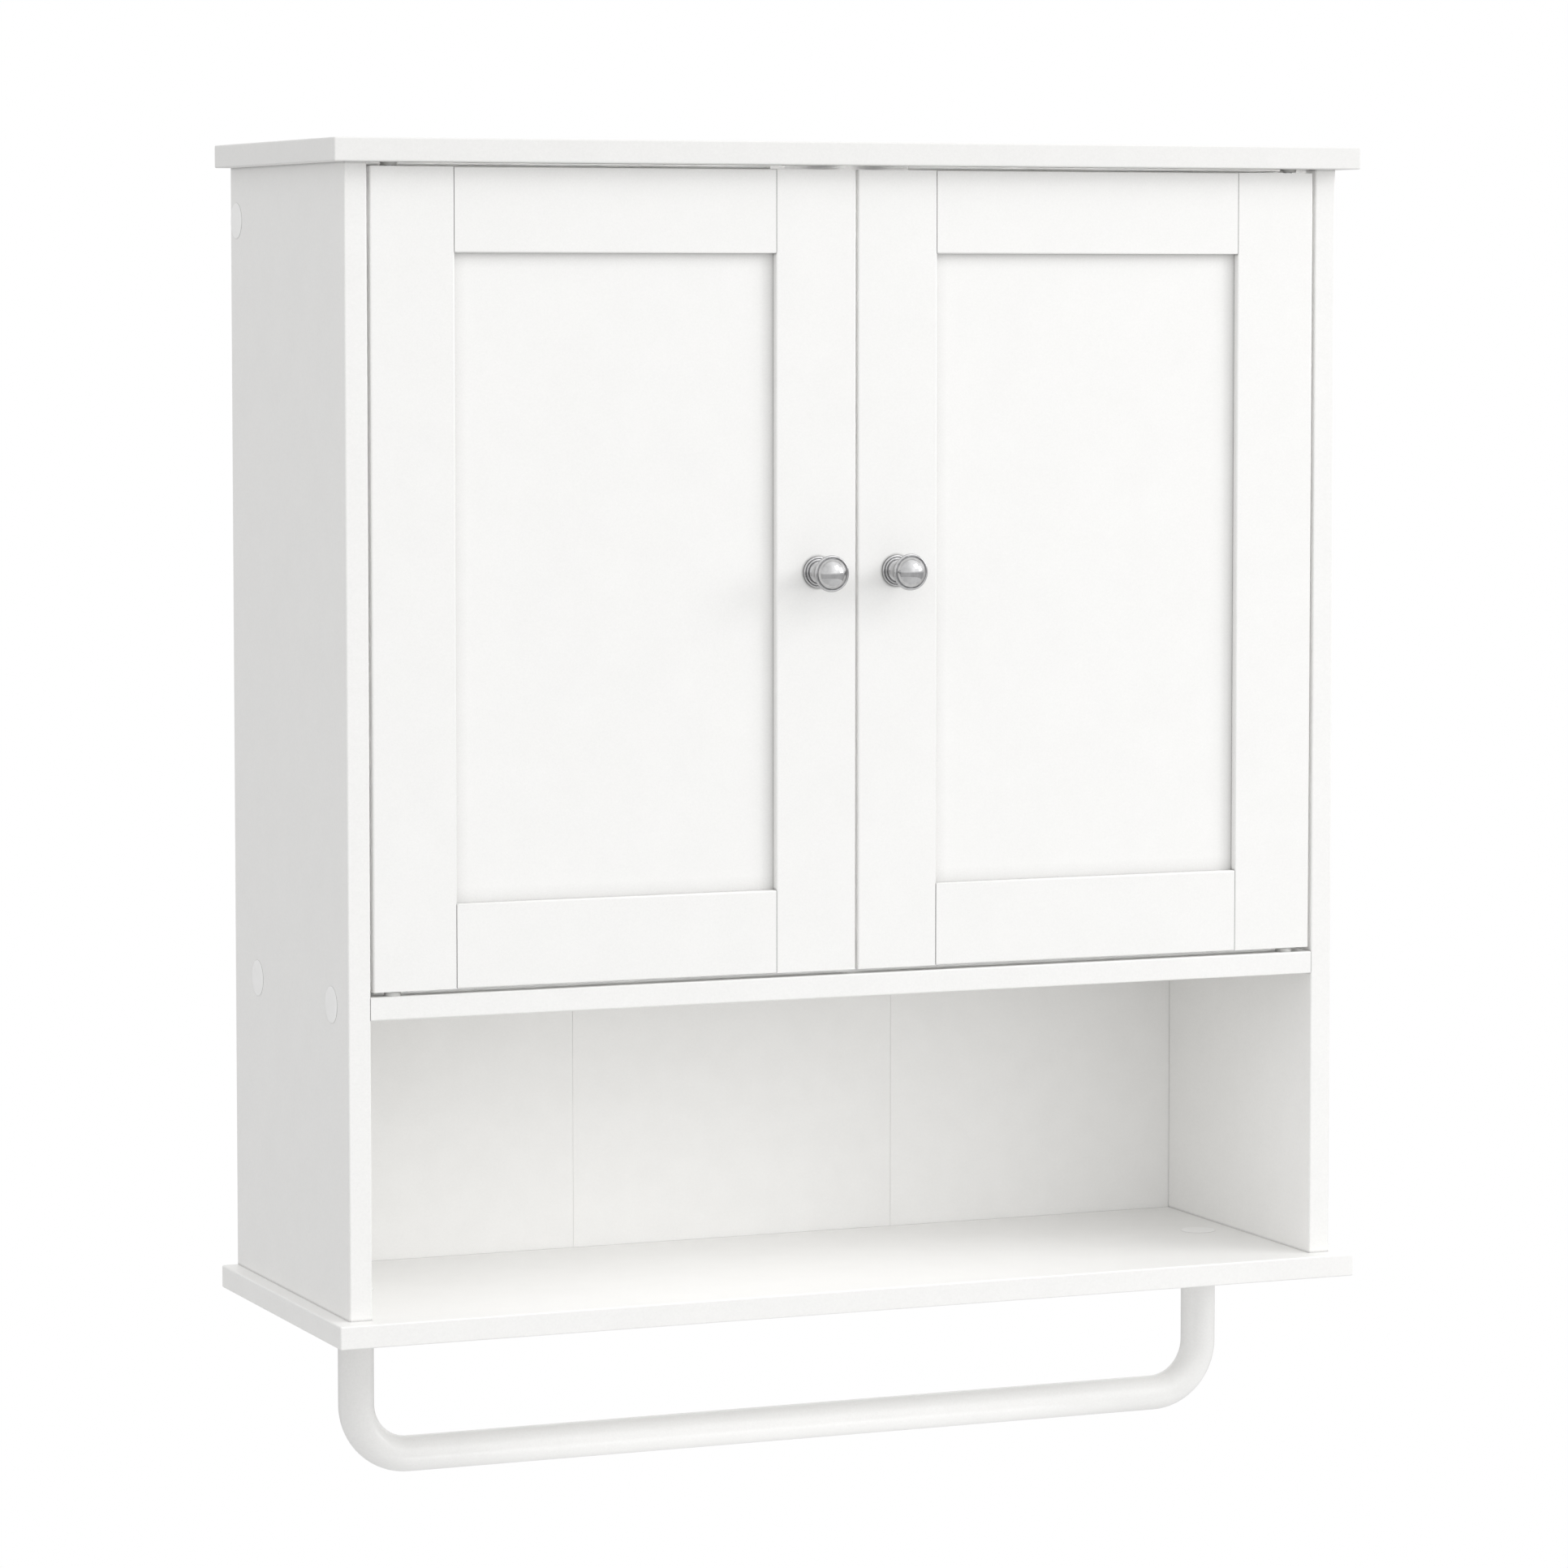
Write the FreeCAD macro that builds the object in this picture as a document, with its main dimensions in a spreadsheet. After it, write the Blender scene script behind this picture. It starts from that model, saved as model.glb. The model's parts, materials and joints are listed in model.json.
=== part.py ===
"""Hanging wall cabinet with two inset doors, an open shelf and a towel bar.

Millimetres. X is to the right, Y is towards the wall and Z is up. The origin is midway
between the two wall screw holes, on the plane of the wall. The sheet "dims" holds the driving
dimensions, and every other size is an expression of them.
"""
import FreeCAD, Part
import math
import os
import Sketcher

doc = FreeCAD.newDocument("wall_cabinet")

DIMENSIONS = {
    # carcass
    "overall_width": 580, "board_depth": 203, "board_thick": 12, "body_width": 562,
    "side_depth": 191, "body_height": 613, "open_height": 153.6, "edge_round": 0.8,
    # rail that hangs on the wall
    "rail_height": 56, "rail_thick": 15, "wall_hole_spacing": 400, "wall_hole_radius": 3,
    # folded back
    "back_setback": 16, "back_thick": 3, "back_tongue": 4.4, "fold_offset": 95,
    "fold_gap": 0.16, "tape_width": 24, "tape_thick": 0.25, "access_hole_radius": 5,
    # fits
    "slack": 0.1, "joint_depth": 8,
    # doors
    "door_side_gap": 1.7, "door_centre_gap": 1.4, "door_top_gap": 2.1, "door_bottom_gap": 2.5,
    "door_thick": 12, "stile_width": 45, "cross_rail_width": 43.5, "door_panel_thick": 3,
    "door_tongue": 5.8, "door_groove": 6.2,
    # door pivots
    "pivot_from_side": 13.7, "pivot_from_front": 6, "pin_radius": 2, "pin_in_door": 14,
    "pin_in_bush": 7, "bore_clearance": 0.05, "press_clearance": 0.025, "bush_radius": 3,
    "bush_flange_radius": 4.3,
    "top_flange_thick": 1.6, "bottom_flange_thick": 2.1,
    # knobs
    "knob_offset": 22.4, "knob_base_radius": 8.2, "knob_step_radius": 6.6,
    "knob_neck_radius": 4.3, "knob_rim_radius": 9.4, "knob_rim_distance": 18.6,
    "knob_reach": 25.6, "knob_bore_radius": 2.05, "knob_bore_depth": 9,
    "knob_foot_height": 1.3, "knob_foot_round": 0.2, "knob_chamfer": 0.8, "knob_chamfer_end": 1.9,
    "knob_step_start": 2.1, "knob_step_end": 2.7, "knob_step_round": 0.25, "knob_flare": 1.2,
    "knob_neck_start": 3.6, "knob_waist": 10.2, "knob_neck_curve": 0.9, "knob_lip": 1.2,
    "knob_lip_height": 1.4, "knob_bead_height": 1.6, "knob_bead_taper": 0.3,
    "knob_bead_round": 0.35, "knob_dome_inset": 1.3, "knob_dome_start": 1.8,
    # adjustable shelf and its pins
    "shelf_side_gap": 1, "shelf_front_setback": 26, "shelf_rear_gap": 1, "shelf_pin_height": -190,
    "shelf_pin_radius": 2.45, "shelf_pin_reach": 7, "shelf_hole_pitch": 32,
    "shelf_hole_front": -135, "shelf_hole_rear": -50, "pin_collar_radius": 3.7,
    # screws, dowels and the discs that cover screw heads
    "screw_radius": 2.5, "screw_length": 40, "screw_head_radius": 4.5, "screw_head_thick": 2.5,
    "small_screw_radius": 1.75, "small_screw_head_radius": 3.2, "tip_taper": 3,
    "socket_share": 0.42, "socket_depth_share": 0.6, "screw_end_gap": 1,
    "screw_front": -160, "screw_rear": -39, "shelf_screw_front": -163.6,
    "dowel_radius": 3, "dowel_length": 24, "dowel_front": -128, "dowel_rear": -68,
    "disc_radius": 9.5, "disc_thick": 0.4,
    # towel bar
    "bar_radius": 9.5, "bar_wall": 1.5, "bar_half_span": 247.5, "bar_setback": 99.5,
    "bar_drop": 77.5, "bar_bend": 28.5, "bar_insert_length": 22, "bar_screw_radius": 3,
    "bar_screw_length": 28, "bar_screw_head_radius": 6, "bar_screw_head_thick": 3,
    # magnetic catch
    "catch_half_width": 36, "catch_depth": 18, "catch_height": 12, "catch_front": -176,
    "magnet_inner": 8, "magnet_width": 14, "magnet_height": 4, "magnet_depth": 8.4,
    "pole_thick": 0.8, "pole_proud": 1.4, "magnet_from_top": 8, "catch_screw_offset": 30,
    "strike_inner": 5, "strike_width": 20, "strike_height": 12, "strike_thick": 1.2,
    "strike_from_top": 3.5, "strike_screw_radius": 1.2, "strike_screw_head_radius": 2.4,
}

# Shelf pin holes, counted up and down from the ones that hold the shelf.
SHELF_HOLE_STEPS = range(-3, 4)

# Lengths and volumes nearer than this are the same.
NEARLY_ZERO = 1e-6
TUBE_VOLUME_TOLERANCE = 0.001


def make_sheet():
    """Write the driving dimensions to a spreadsheet, one named cell each."""
    sheet = doc.addObject("Spreadsheet::Sheet", "dims")
    for row, (name, number) in enumerate(DIMENSIONS.items(), start=1):
        sheet.set(f"A{row}", name)
        sheet.set(f"B{row}", str(number))
        sheet.setAlias(f"B{row}", name)
    doc.recompute()
    return sheet


sheet = make_sheet()

# Named places. Heights are above the wall screw holes, and widths are from the middle.
HALF_BODY = "dims.body_width / 2"
HALF_INNER = "(dims.body_width / 2 - dims.board_thick)"
HALF_TOP = "dims.overall_width / 2"
SIDE_MIDDLE = "(dims.body_width / 2 - dims.board_thick / 2)"
WALL_HOLE_HEIGHT = "0"
TOP_UNDERSIDE = "dims.rail_height / 2"
TOP_SURFACE = "(dims.rail_height / 2 + dims.board_thick)"
FLOOR_UNDERSIDE = "(dims.rail_height / 2 + dims.board_thick - dims.body_height)"
FLOOR_SURFACE = f"({FLOOR_UNDERSIDE} + dims.board_thick)"
SIDE_HEIGHT = "(dims.body_height - 2 * dims.board_thick)"
SHELF_UNDERSIDE = f"({FLOOR_SURFACE} + dims.open_height)"
SHELF_SURFACE = f"({SHELF_UNDERSIDE} + dims.board_thick)"
SHELF_MIDDLE = f"({SHELF_UNDERSIDE} + dims.board_thick / 2)"
FRONT = "dims.side_depth"
BACK_FRONT = "(dims.back_setback + dims.back_thick)"
DOOR_BOTTOM = f"({SHELF_SURFACE} + dims.door_bottom_gap)"
DOOR_TOP = f"({TOP_UNDERSIDE} - dims.door_top_gap)"
DOOR_HEIGHT = f"({DOOR_TOP} - {DOOR_BOTTOM})"
DOOR_MIDDLE = f"(({DOOR_TOP} + {DOOR_BOTTOM}) / 2)"
DOOR_OUTER = f"({HALF_INNER} - dims.door_side_gap)"
DOOR_INNER = "dims.door_centre_gap / 2"
DOOR_REAR = "(dims.side_depth - dims.door_thick)"
PIVOT_X = f"({HALF_INNER} - dims.pivot_from_side)"
PIVOT_Y = "(dims.side_depth - dims.pivot_from_front)"
SIDES = (("left", -1), ("right", 1))


# ---------------------------------------------------------------- helpers
def value(expression):
    """The number that an expression of the sheet's cells stands for."""
    number = sheet.evalExpression(str(expression))
    return getattr(number, "Value", number)


def mirrored(side, near, far):
    """Lowest X of a piece that spans near to far from the middle, on the given side."""
    return near if side > 0 else f"-({far})"


def place(thing, x, y, z, rotation=None):
    """Bind a piece's position to expressions, after turning it."""
    if rotation:
        thing.Placement = FreeCAD.Placement(FreeCAD.Vector(), rotation)
    for axis, expression in zip("xyz", (x, y, z)):
        thing.setExpression(f"Placement.Base.{axis}", str(expression))
    return thing


def bind(thing, **sizes):
    for name, expression in sizes.items():
        thing.setExpression(name, str(expression))
    return thing


def turned_to(direction):
    """Rotation that takes +Z to the given direction."""
    return FreeCAD.Rotation(FreeCAD.Vector(0, 0, 1), FreeCAD.Vector(*direction))


def new_body(label, x, y, z):
    body = doc.addObject("PartDesign::Body", label)
    body.Label = label
    return place(body, x, y, z)


def new_sketch(body, name, role="XY_Plane", lift="0"):
    """A sketch on one of the body's own origin planes, lifted along the plane's normal."""
    sketch = body.newObject("Sketcher::SketchObject", name)
    plane = [feature for feature in body.Origin.OriginFeatures if feature.Role == role][0]
    sketch.AttachmentSupport = [(plane, "")]
    sketch.MapMode = "FlatFace"
    sketch.setExpression("AttachmentOffset.Base.z", lift)
    return sketch


def tie(sketch, geometry, point, x, y):
    """Tie a sketch point to a distance from each axis."""
    for kind, axis, expression in (("DistanceX", -2, x), ("DistanceY", -1, y)):
        if expression == "0":
            sketch.addConstraint(Sketcher.Constraint("PointOnObject", geometry, point, axis))
            continue
        number = value(expression)
        index = sketch.addConstraint(Sketcher.Constraint(kind, -1, 1, geometry, point, number))
        sketch.setExpression(f"Constraints[{index}]", expression)


def add_rectangle(sketch, x, y, wide, high):
    """A rectangle from its lowest corner, with its corners tied to expressions."""
    far_x = wide if x == "0" else f"{x} + {wide}"
    far_y = high if y == "0" else f"{y} + {high}"
    corners = [(x, y), (far_x, y), (far_x, far_y), (x, far_y)]
    add_outline(sketch, corners)


def add_outline(sketch, points):
    """A closed outline. A third item in a point is a bulge: the run that follows is an arc.

    The bulge is the arc's height over its chord, to the left of the run.
    """
    spots = [FreeCAD.Vector(value(point[0]), value(point[1]), 0) for point in points]
    first = sketch.GeometryCount
    count = len(points)
    for index, point in enumerate(points):
        start, end = spots[index], spots[(index + 1) % count]
        if len(point) == 3:
            chord = end - start
            left = FreeCAD.Vector(-chord.y, chord.x, 0).normalize()
            bulge = value(point[2])
            middle = (start + end) * 0.5 + left * bulge
            arc = Part.Arc(start, middle, end)
            sketch.addGeometry(arc, False)
        else:
            sketch.addGeometry(Part.LineSegment(start, end), False)
    ends = [end_points(sketch, first + index, spots[index]) for index in range(count)]
    for index, point in enumerate(points):
        line = first + index
        following = first + (index + 1) % count
        follower = ends[(index + 1) % count][0]
        joined = Sketcher.Constraint("Coincident", line, ends[index][1], following, follower)
        sketch.addConstraint(joined)
        tie(sketch, line, ends[index][0], point[0], point[1])
        if len(point) == 3:
            curve = sketch.Geometry[line]
            sketch.addConstraint(Sketcher.Constraint("Radius", line, curve.Radius))


def end_points(sketch, line, start):
    """The sketcher's numbers for the start and end of a line, which an arc may swap."""
    begins = sketch.getPoint(line, 1)
    return (1, 2) if (begins - start).Length < NEARLY_ZERO else (2, 1)


def add_circle(sketch, x, y, radius):
    centre = FreeCAD.Vector(value(x), value(y), 0)
    circle = Part.Circle(centre, FreeCAD.Vector(0, 0, 1), value(radius))
    index = sketch.addGeometry(circle, False)
    tie(sketch, index, 3, x, y)
    constraint = sketch.addConstraint(Sketcher.Constraint("Radius", index, value(radius)))
    sketch.setExpression(f"Constraints[{constraint}]", radius)


def add_pad(body, sketch, name, length):
    pad = body.newObject("PartDesign::Pad", name)
    pad.Profile = sketch
    bind(pad, Length=length)
    doc.recompute()


def add_pocket(body, sketch, name, depth, outward=False):
    """Cut a sketch into the body: against the sketch's normal, or along it if outward."""
    before = body.Shape.Volume
    pocket = body.newObject("PartDesign::Pocket", name)
    pocket.Profile = sketch
    pocket.Reversed = outward
    bind(pocket, Length=depth)
    doc.recompute()
    if body.Shape.Volume >= before - NEARLY_ZERO:
        raise RuntimeError(f"{body.Label}: {name} cuts nothing")


def add_rounding(body, name, radius, wanted):
    """Round the edges of the body's newest feature that the test wanted(edge) picks."""
    tip = body.Tip
    names = [f"Edge{number}" for number, edge in enumerate(tip.Shape.Edges, start=1) if wanted(edge)]
    rounding = body.newObject("PartDesign::Fillet", name)
    rounding.Base = (tip, names)
    bind(rounding, Radius=radius)
    doc.recompute()


def runs_along(edge, axis):
    """Whether a straight edge is parallel to an axis: "x", "y" or "z"."""
    start, end = edge.Vertexes[0].Point, edge.Vertexes[-1].Point
    return abs(abs(getattr(end - start, axis)) - edge.Length) < NEARLY_ZERO


def at_front(edge):
    """Whether an edge lies on the front face of a body that starts at its own Y = 0."""
    return abs(edge.CenterOfMass.y) < NEARLY_ZERO


def new_box(label, low, size):
    box = doc.addObject("Part::Box", label)
    box.Label = label
    bind(box, Length=size[0], Width=size[1], Height=size[2])
    return place(box, *low)


def new_cylinder(name, radius, height, at=("0", "0", "0"), rotation=None):
    cylinder = doc.addObject("Part::Cylinder", name)
    bind(cylinder, Radius=radius, Height=height)
    return place(cylinder, *at, rotation)


def new_cone(name, radius, end_radius, height, at=("0", "0", "0")):
    cone = doc.addObject("Part::Cone", name)
    bind(cone, Radius1=radius, Radius2=end_radius, Height=height)
    return place(cone, *at)


def fused(name, pieces):
    fusion = doc.addObject("Part::MultiFuse", name)
    fusion.Shapes = pieces
    return fusion


def cut(name, base, tool):
    result = doc.addObject("Part::Cut", name)
    result.Label = name
    result.Base = base
    result.Tool = tool
    return result


def grouped(label, pieces):
    """Identical pieces that stay separate solids in one sub-part."""
    group = doc.addObject("Part::Compound", label)
    group.Label = label
    group.Links = pieces
    return group


def new_screw(name, radius, length, head_radius, head_thick, at, direction):
    """A screw with a low round head and a hexagonal socket.

    It points along direction from at, which is the top of its head.
    """
    head = new_cylinder(f"{name}_head", head_radius, head_thick)
    shank_length = f"{length} - {radius}"
    shank = new_cylinder(f"{name}_shank", radius, shank_length, ("0", "0", head_thick))
    tip_start = f"{head_thick} + {length} - {radius}"
    tip_end = f"{radius} / dims.tip_taper"
    tip = new_cone(f"{name}_tip", radius, tip_end, radius, ("0", "0", tip_start))
    socket = doc.addObject("Part::Prism", f"{name}_socket")
    socket.Polygon = 6
    bind(socket, Circumradius=f"{head_radius} * dims.socket_share",
         Height=f"{head_thick} * dims.socket_depth_share")
    screw = cut(name, fused(f"{name}_blank", [head, shank, tip]), socket)
    return place(screw, *at, turned_to(direction))


def both_sides_and_depths(front, rear):
    """Name, side and depth of each of four fixings: left and right, front and rear."""
    for side_name, side in SIDES:
        for depth_name, depth in (("front", front), ("rear", rear)):
            yield f"{side_name}_{depth_name}", side, depth


# ---------------------------------------------------------------- carcass
def add_end_board_details(body, inside_height, cut_up, outside_height):
    """Groove, dowel holes and screw holes that the top and bottom boards share.

    inside_height is the local height of the face that the side panels meet, and cut_up says
    whether a cut from that face goes up.
    """
    groove = new_sketch(body, "back_groove_outline", lift=inside_height)
    groove_width = f"2 * ({HALF_INNER} + dims.back_tongue + dims.slack)"
    groove_x = f"({HALF_TOP} - {HALF_INNER} - dims.back_tongue - dims.slack)"
    groove_y = f"(dims.board_depth - {BACK_FRONT} - dims.slack)"
    add_rectangle(groove, groove_x, groove_y, groove_width, "(dims.back_thick + 2 * dims.slack)")
    add_pocket(body, groove, "back_groove", "dims.back_tongue + dims.slack", cut_up)
    dowels = new_sketch(body, "dowel_outline", lift=inside_height)
    screws = new_sketch(body, "screw_outline", lift=inside_height)
    heads = new_sketch(body, "screw_head_outline", lift=outside_height)
    for side in (-1, 1):
        x = f"({HALF_TOP} + {side} * {SIDE_MIDDLE})"
        for depth in ("dims.dowel_front", "dims.dowel_rear"):
            add_circle(dowels, x, f"(dims.board_depth + {depth})", "dims.dowel_radius + dims.slack")
        for depth in ("dims.screw_front", "dims.screw_rear"):
            y = f"(dims.board_depth + {depth})"
            add_circle(screws, x, y, "dims.screw_radius + dims.slack")
            add_circle(heads, x, y, "dims.screw_head_radius + dims.slack")
    add_pocket(body, dowels, "dowel_holes", "dims.joint_depth + dims.slack", cut_up)
    add_pocket(body, screws, "screw_holes", "dims.board_thick", cut_up)
    add_pocket(body, heads, "screw_head_holes", "dims.screw_head_thick + dims.slack", not cut_up)


def end_board(label, height):
    """The blank that the top and bottom boards share, with all its edges rounded."""
    body = new_body(label, f"-{HALF_TOP}", "-dims.board_depth", height)
    outline = new_sketch(body, "outline")
    add_rectangle(outline, "0", "0", "dims.overall_width", "dims.board_depth")
    add_pad(body, outline, "board", "dims.board_thick")
    add_rounding(body, "rounded_edges", "dims.edge_round", lambda edge: True)
    return body


def make_top_board():
    body = end_board("top_board", TOP_UNDERSIDE)
    add_end_board_details(body, "0", True, "dims.board_thick")
    bushes = new_sketch(body, "bush_outline")
    for side in (-1, 1):
        x = f"({HALF_TOP} + {side} * {PIVOT_X})"
        add_circle(bushes, x, f"(dims.board_depth - {PIVOT_Y})", "dims.bush_radius + dims.slack / 2")
    add_pocket(body, bushes, "bush_holes", "dims.joint_depth", True)
    pilots = new_sketch(body, "catch_screw_outline")
    for side in (-1, 1):
        x = f"({HALF_TOP} + {side} * dims.catch_screw_offset)"
        y = "(dims.board_depth + dims.catch_front + dims.catch_depth / 2)"
        add_circle(pilots, x, y, "dims.small_screw_radius + dims.slack")
    add_pocket(body, pilots, "catch_screw_holes", "dims.joint_depth + dims.slack", True)


def make_bottom_board():
    body = end_board("bottom_board", FLOOR_UNDERSIDE)
    add_end_board_details(body, "dims.board_thick", False, "0")
    holes = new_sketch(body, "bar_screw_outline", lift="dims.board_thick")
    heads = new_sketch(body, "bar_screw_head_outline", lift="dims.board_thick")
    for side in (-1, 1):
        x = f"({HALF_TOP} + {side} * dims.bar_half_span)"
        y = "(dims.board_depth - dims.bar_setback)"
        add_circle(holes, x, y, "dims.bar_screw_radius + dims.slack")
        add_circle(heads, x, y, "dims.bar_screw_head_radius + dims.slack")
    add_pocket(body, holes, "bar_screw_holes", "dims.board_thick")
    add_pocket(body, heads, "bar_screw_head_holes", "dims.bar_screw_head_thick + dims.slack")


def make_side_panel(name, side):
    """A side panel, with its groove, its end holes and its shelf pin holes."""
    label = f"{name}_side_panel"
    body = new_body(label, mirrored(side, HALF_INNER, HALF_BODY), f"-{FRONT}", FLOOR_SURFACE)
    outline = new_sketch(body, "outline")
    add_rectangle(outline, "0", "0", "dims.board_thick", "dims.side_depth")
    add_pad(body, outline, "board", SIDE_HEIGHT)
    add_rounding(body, "rounded_front_edges", "dims.edge_round",
                 lambda edge: runs_along(edge, "z") and at_front(edge))

    groove = new_sketch(body, "back_groove_outline")
    tongue = "(dims.back_tongue + dims.slack)"
    groove_x = "0" if side > 0 else f"(dims.board_thick - {tongue})"
    groove_y = f"(dims.side_depth - {BACK_FRONT} - dims.slack)"
    add_rectangle(groove, groove_x, groove_y, tongue, "(dims.back_thick + 2 * dims.slack)")
    add_pocket(body, groove, "back_groove", SIDE_HEIGHT, True)

    for end, lift, cut_up in (("lower", "0", True), ("upper", SIDE_HEIGHT, False)):
        dowels = new_sketch(body, f"{end}_dowel_outline", lift=lift)
        screws = new_sketch(body, f"{end}_screw_outline", lift=lift)
        for depth in ("dims.dowel_front", "dims.dowel_rear"):
            y = f"(dims.side_depth + {depth})"
            add_circle(dowels, "dims.board_thick / 2", y, "dims.dowel_radius + dims.slack")
        for depth in ("dims.screw_front", "dims.screw_rear"):
            y = f"(dims.side_depth + {depth})"
            add_circle(screws, "dims.board_thick / 2", y, "dims.screw_radius + dims.slack")
        dowel_depth = "dims.dowel_length - dims.joint_depth + dims.slack"
        add_pocket(body, dowels, f"{end}_dowel_holes", dowel_depth, cut_up)
        add_pocket(body, screws, f"{end}_screw_holes", "dims.screw_length", cut_up)

    fixings = [("dims.shelf_screw_front", SHELF_MIDDLE), ("dims.screw_rear", SHELF_MIDDLE),
               ("-dims.rail_thick / 2", WALL_HOLE_HEIGHT)]
    holes = new_sketch(body, "fixing_outline", "YZ_Plane")
    outer_face = "dims.board_thick" if side > 0 else "0"
    heads = new_sketch(body, "fixing_head_outline", "YZ_Plane", outer_face)
    for depth, height in fixings:
        y = f"(dims.side_depth + {depth})"
        z = f"({height} - {FLOOR_SURFACE})"
        add_circle(holes, y, z, "dims.screw_radius + dims.slack")
        add_circle(heads, y, z, "dims.screw_head_radius + dims.slack")
    add_pocket(body, holes, "fixing_holes", "dims.board_thick", True)
    add_pocket(body, heads, "fixing_head_holes", "dims.screw_head_thick + dims.slack", side < 0)

    inner_face = "0" if side > 0 else "dims.board_thick"
    pins = new_sketch(body, "shelf_pin_outline", "YZ_Plane", inner_face)
    for step in SHELF_HOLE_STEPS:
        z = f"(dims.shelf_pin_height + {step} * dims.shelf_hole_pitch - {FLOOR_SURFACE})"
        for depth in ("dims.shelf_hole_front", "dims.shelf_hole_rear"):
            y = f"(dims.side_depth + {depth})"
            add_circle(pins, y, z, "dims.shelf_pin_radius + dims.slack / 2")
    add_pocket(body, pins, "shelf_pin_holes", "dims.joint_depth + dims.slack", side > 0)


def make_middle_shelf():
    """The fixed shelf between the doors and the open shelf."""
    body = new_body("middle_shelf", f"-{HALF_INNER}", f"-{FRONT}", SHELF_UNDERSIDE)
    depth = f"({FRONT} - {BACK_FRONT} - dims.slack)"
    outline = new_sketch(body, "outline")
    add_rectangle(outline, "0", "0", f"2 * {HALF_INNER}", depth)
    add_pad(body, outline, "board", "dims.board_thick")
    add_rounding(body, "rounded_front_edges", "dims.edge_round",
                 lambda edge: runs_along(edge, "x") and at_front(edge))
    for end, lift, outward in (("left", "0", True), ("right", f"2 * {HALF_INNER}", False)):
        holes = new_sketch(body, f"{end}_screw_outline", "YZ_Plane", lift)
        for place_back in ("dims.shelf_screw_front", "dims.screw_rear"):
            y = f"(dims.side_depth + {place_back})"
            add_circle(holes, y, "dims.board_thick / 2", "dims.screw_radius + dims.slack")
        add_pocket(body, holes, f"{end}_screw_holes", "dims.screw_length", outward)
    bushes = new_sketch(body, "bush_outline", lift="dims.board_thick")
    for side in (-1, 1):
        x = f"({HALF_INNER} + {side} * {PIVOT_X})"
        add_circle(bushes, x, "dims.pivot_from_front", "dims.bush_radius + dims.slack / 2")
    add_pocket(body, bushes, "bush_holes", "dims.joint_depth")


def make_inner_shelf():
    """The adjustable shelf behind the doors, set back so that the doors' edges swing clear."""
    half = f"({HALF_INNER} - dims.shelf_side_gap)"
    height = "(dims.shelf_pin_height + dims.shelf_pin_radius + dims.slack / 2)"
    low_y = "(dims.side_depth - dims.shelf_front_setback)"
    body = new_body("inner_shelf", f"-{half}", f"-{low_y}", height)
    outline = new_sketch(body, "outline")
    depth = f"({low_y} - {BACK_FRONT} - dims.shelf_rear_gap)"
    add_rectangle(outline, "0", "0", f"2 * {half}", depth)
    add_pad(body, outline, "board", "dims.board_thick")
    add_rounding(body, "rounded_edges", "dims.edge_round", lambda edge: True)


def make_back():
    """The folding back: three panels in the carcass's grooves, with tape behind the folds."""
    low_z = f"({FLOOR_SURFACE} - dims.back_tongue)"
    height = f"({SIDE_HEIGHT} + 2 * dims.back_tongue)"
    low_y = f"-{BACK_FRONT}"
    fold_edge = "(dims.fold_offset - dims.fold_gap / 2)"
    outer_start = "(dims.fold_offset + dims.fold_gap / 2)"
    outer_width = f"({HALF_INNER} + dims.back_tongue - {outer_start})"
    new_box("back_panel_centre", (f"-{fold_edge}", low_y, low_z),
            (f"2 * {fold_edge}", "dims.back_thick", height))
    tapes = []
    for name, side in SIDES:
        outer_x = mirrored(side, outer_start, f"{HALF_INNER} + dims.back_tongue")
        sheet_name = f"{name}_back_sheet"
        panel = new_box(sheet_name, (outer_x, low_y, low_z),
                        (outer_width, "dims.back_thick", height))
        hole_x = f"{side} * dims.wall_hole_spacing / 2"
        hole = new_cylinder(f"{name}_access_hole", "dims.access_hole_radius", "dims.back_thick",
                            (hole_x, "-dims.back_setback", WALL_HOLE_HEIGHT),
                            turned_to((0, -1, 0)))
        cut(f"back_panel_{name}", panel, hole)
        tape_x = mirrored(side, "(dims.fold_offset - dims.tape_width / 2)",
                          "(dims.fold_offset + dims.tape_width / 2)")
        tapes.append(new_box(f"{name}_tape", (tape_x, "-dims.back_setback", FLOOR_SURFACE),
                             ("dims.tape_width", "dims.tape_thick", SIDE_HEIGHT)))
    grouped("back_fold_tapes", tapes)


def make_hanging_rail():
    body = new_body("hanging_rail", f"-{HALF_INNER}", "-dims.rail_thick", "-dims.rail_height / 2")
    outline = new_sketch(body, "outline")
    add_rectangle(outline, "0", "0", f"2 * {HALF_INNER}", "dims.rail_thick")
    add_pad(body, outline, "rail", "dims.rail_height")
    holes = new_sketch(body, "wall_hole_outline", "XZ_Plane")
    for side in (-1, 1):
        x = f"({HALF_INNER} + {side} * dims.wall_hole_spacing / 2)"
        add_circle(holes, x, "dims.rail_height / 2", "dims.wall_hole_radius")
    add_pocket(body, holes, "wall_holes", "dims.rail_thick")
    for end, lift, outward in (("left", "0", True), ("right", f"2 * {HALF_INNER}", False)):
        pilot = new_sketch(body, f"{end}_screw_outline", "YZ_Plane", lift)
        add_circle(pilot, "dims.rail_thick / 2", "dims.rail_height / 2",
                   "dims.screw_radius + dims.slack")
        add_pocket(body, pilot, f"{end}_screw_hole", "dims.screw_length", outward)


def wood_screw(name, at, direction):
    return new_screw(name, "dims.screw_radius", "(dims.screw_length - dims.screw_head_thick)",
                     "dims.screw_head_radius", "dims.screw_head_thick", at, direction)


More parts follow.
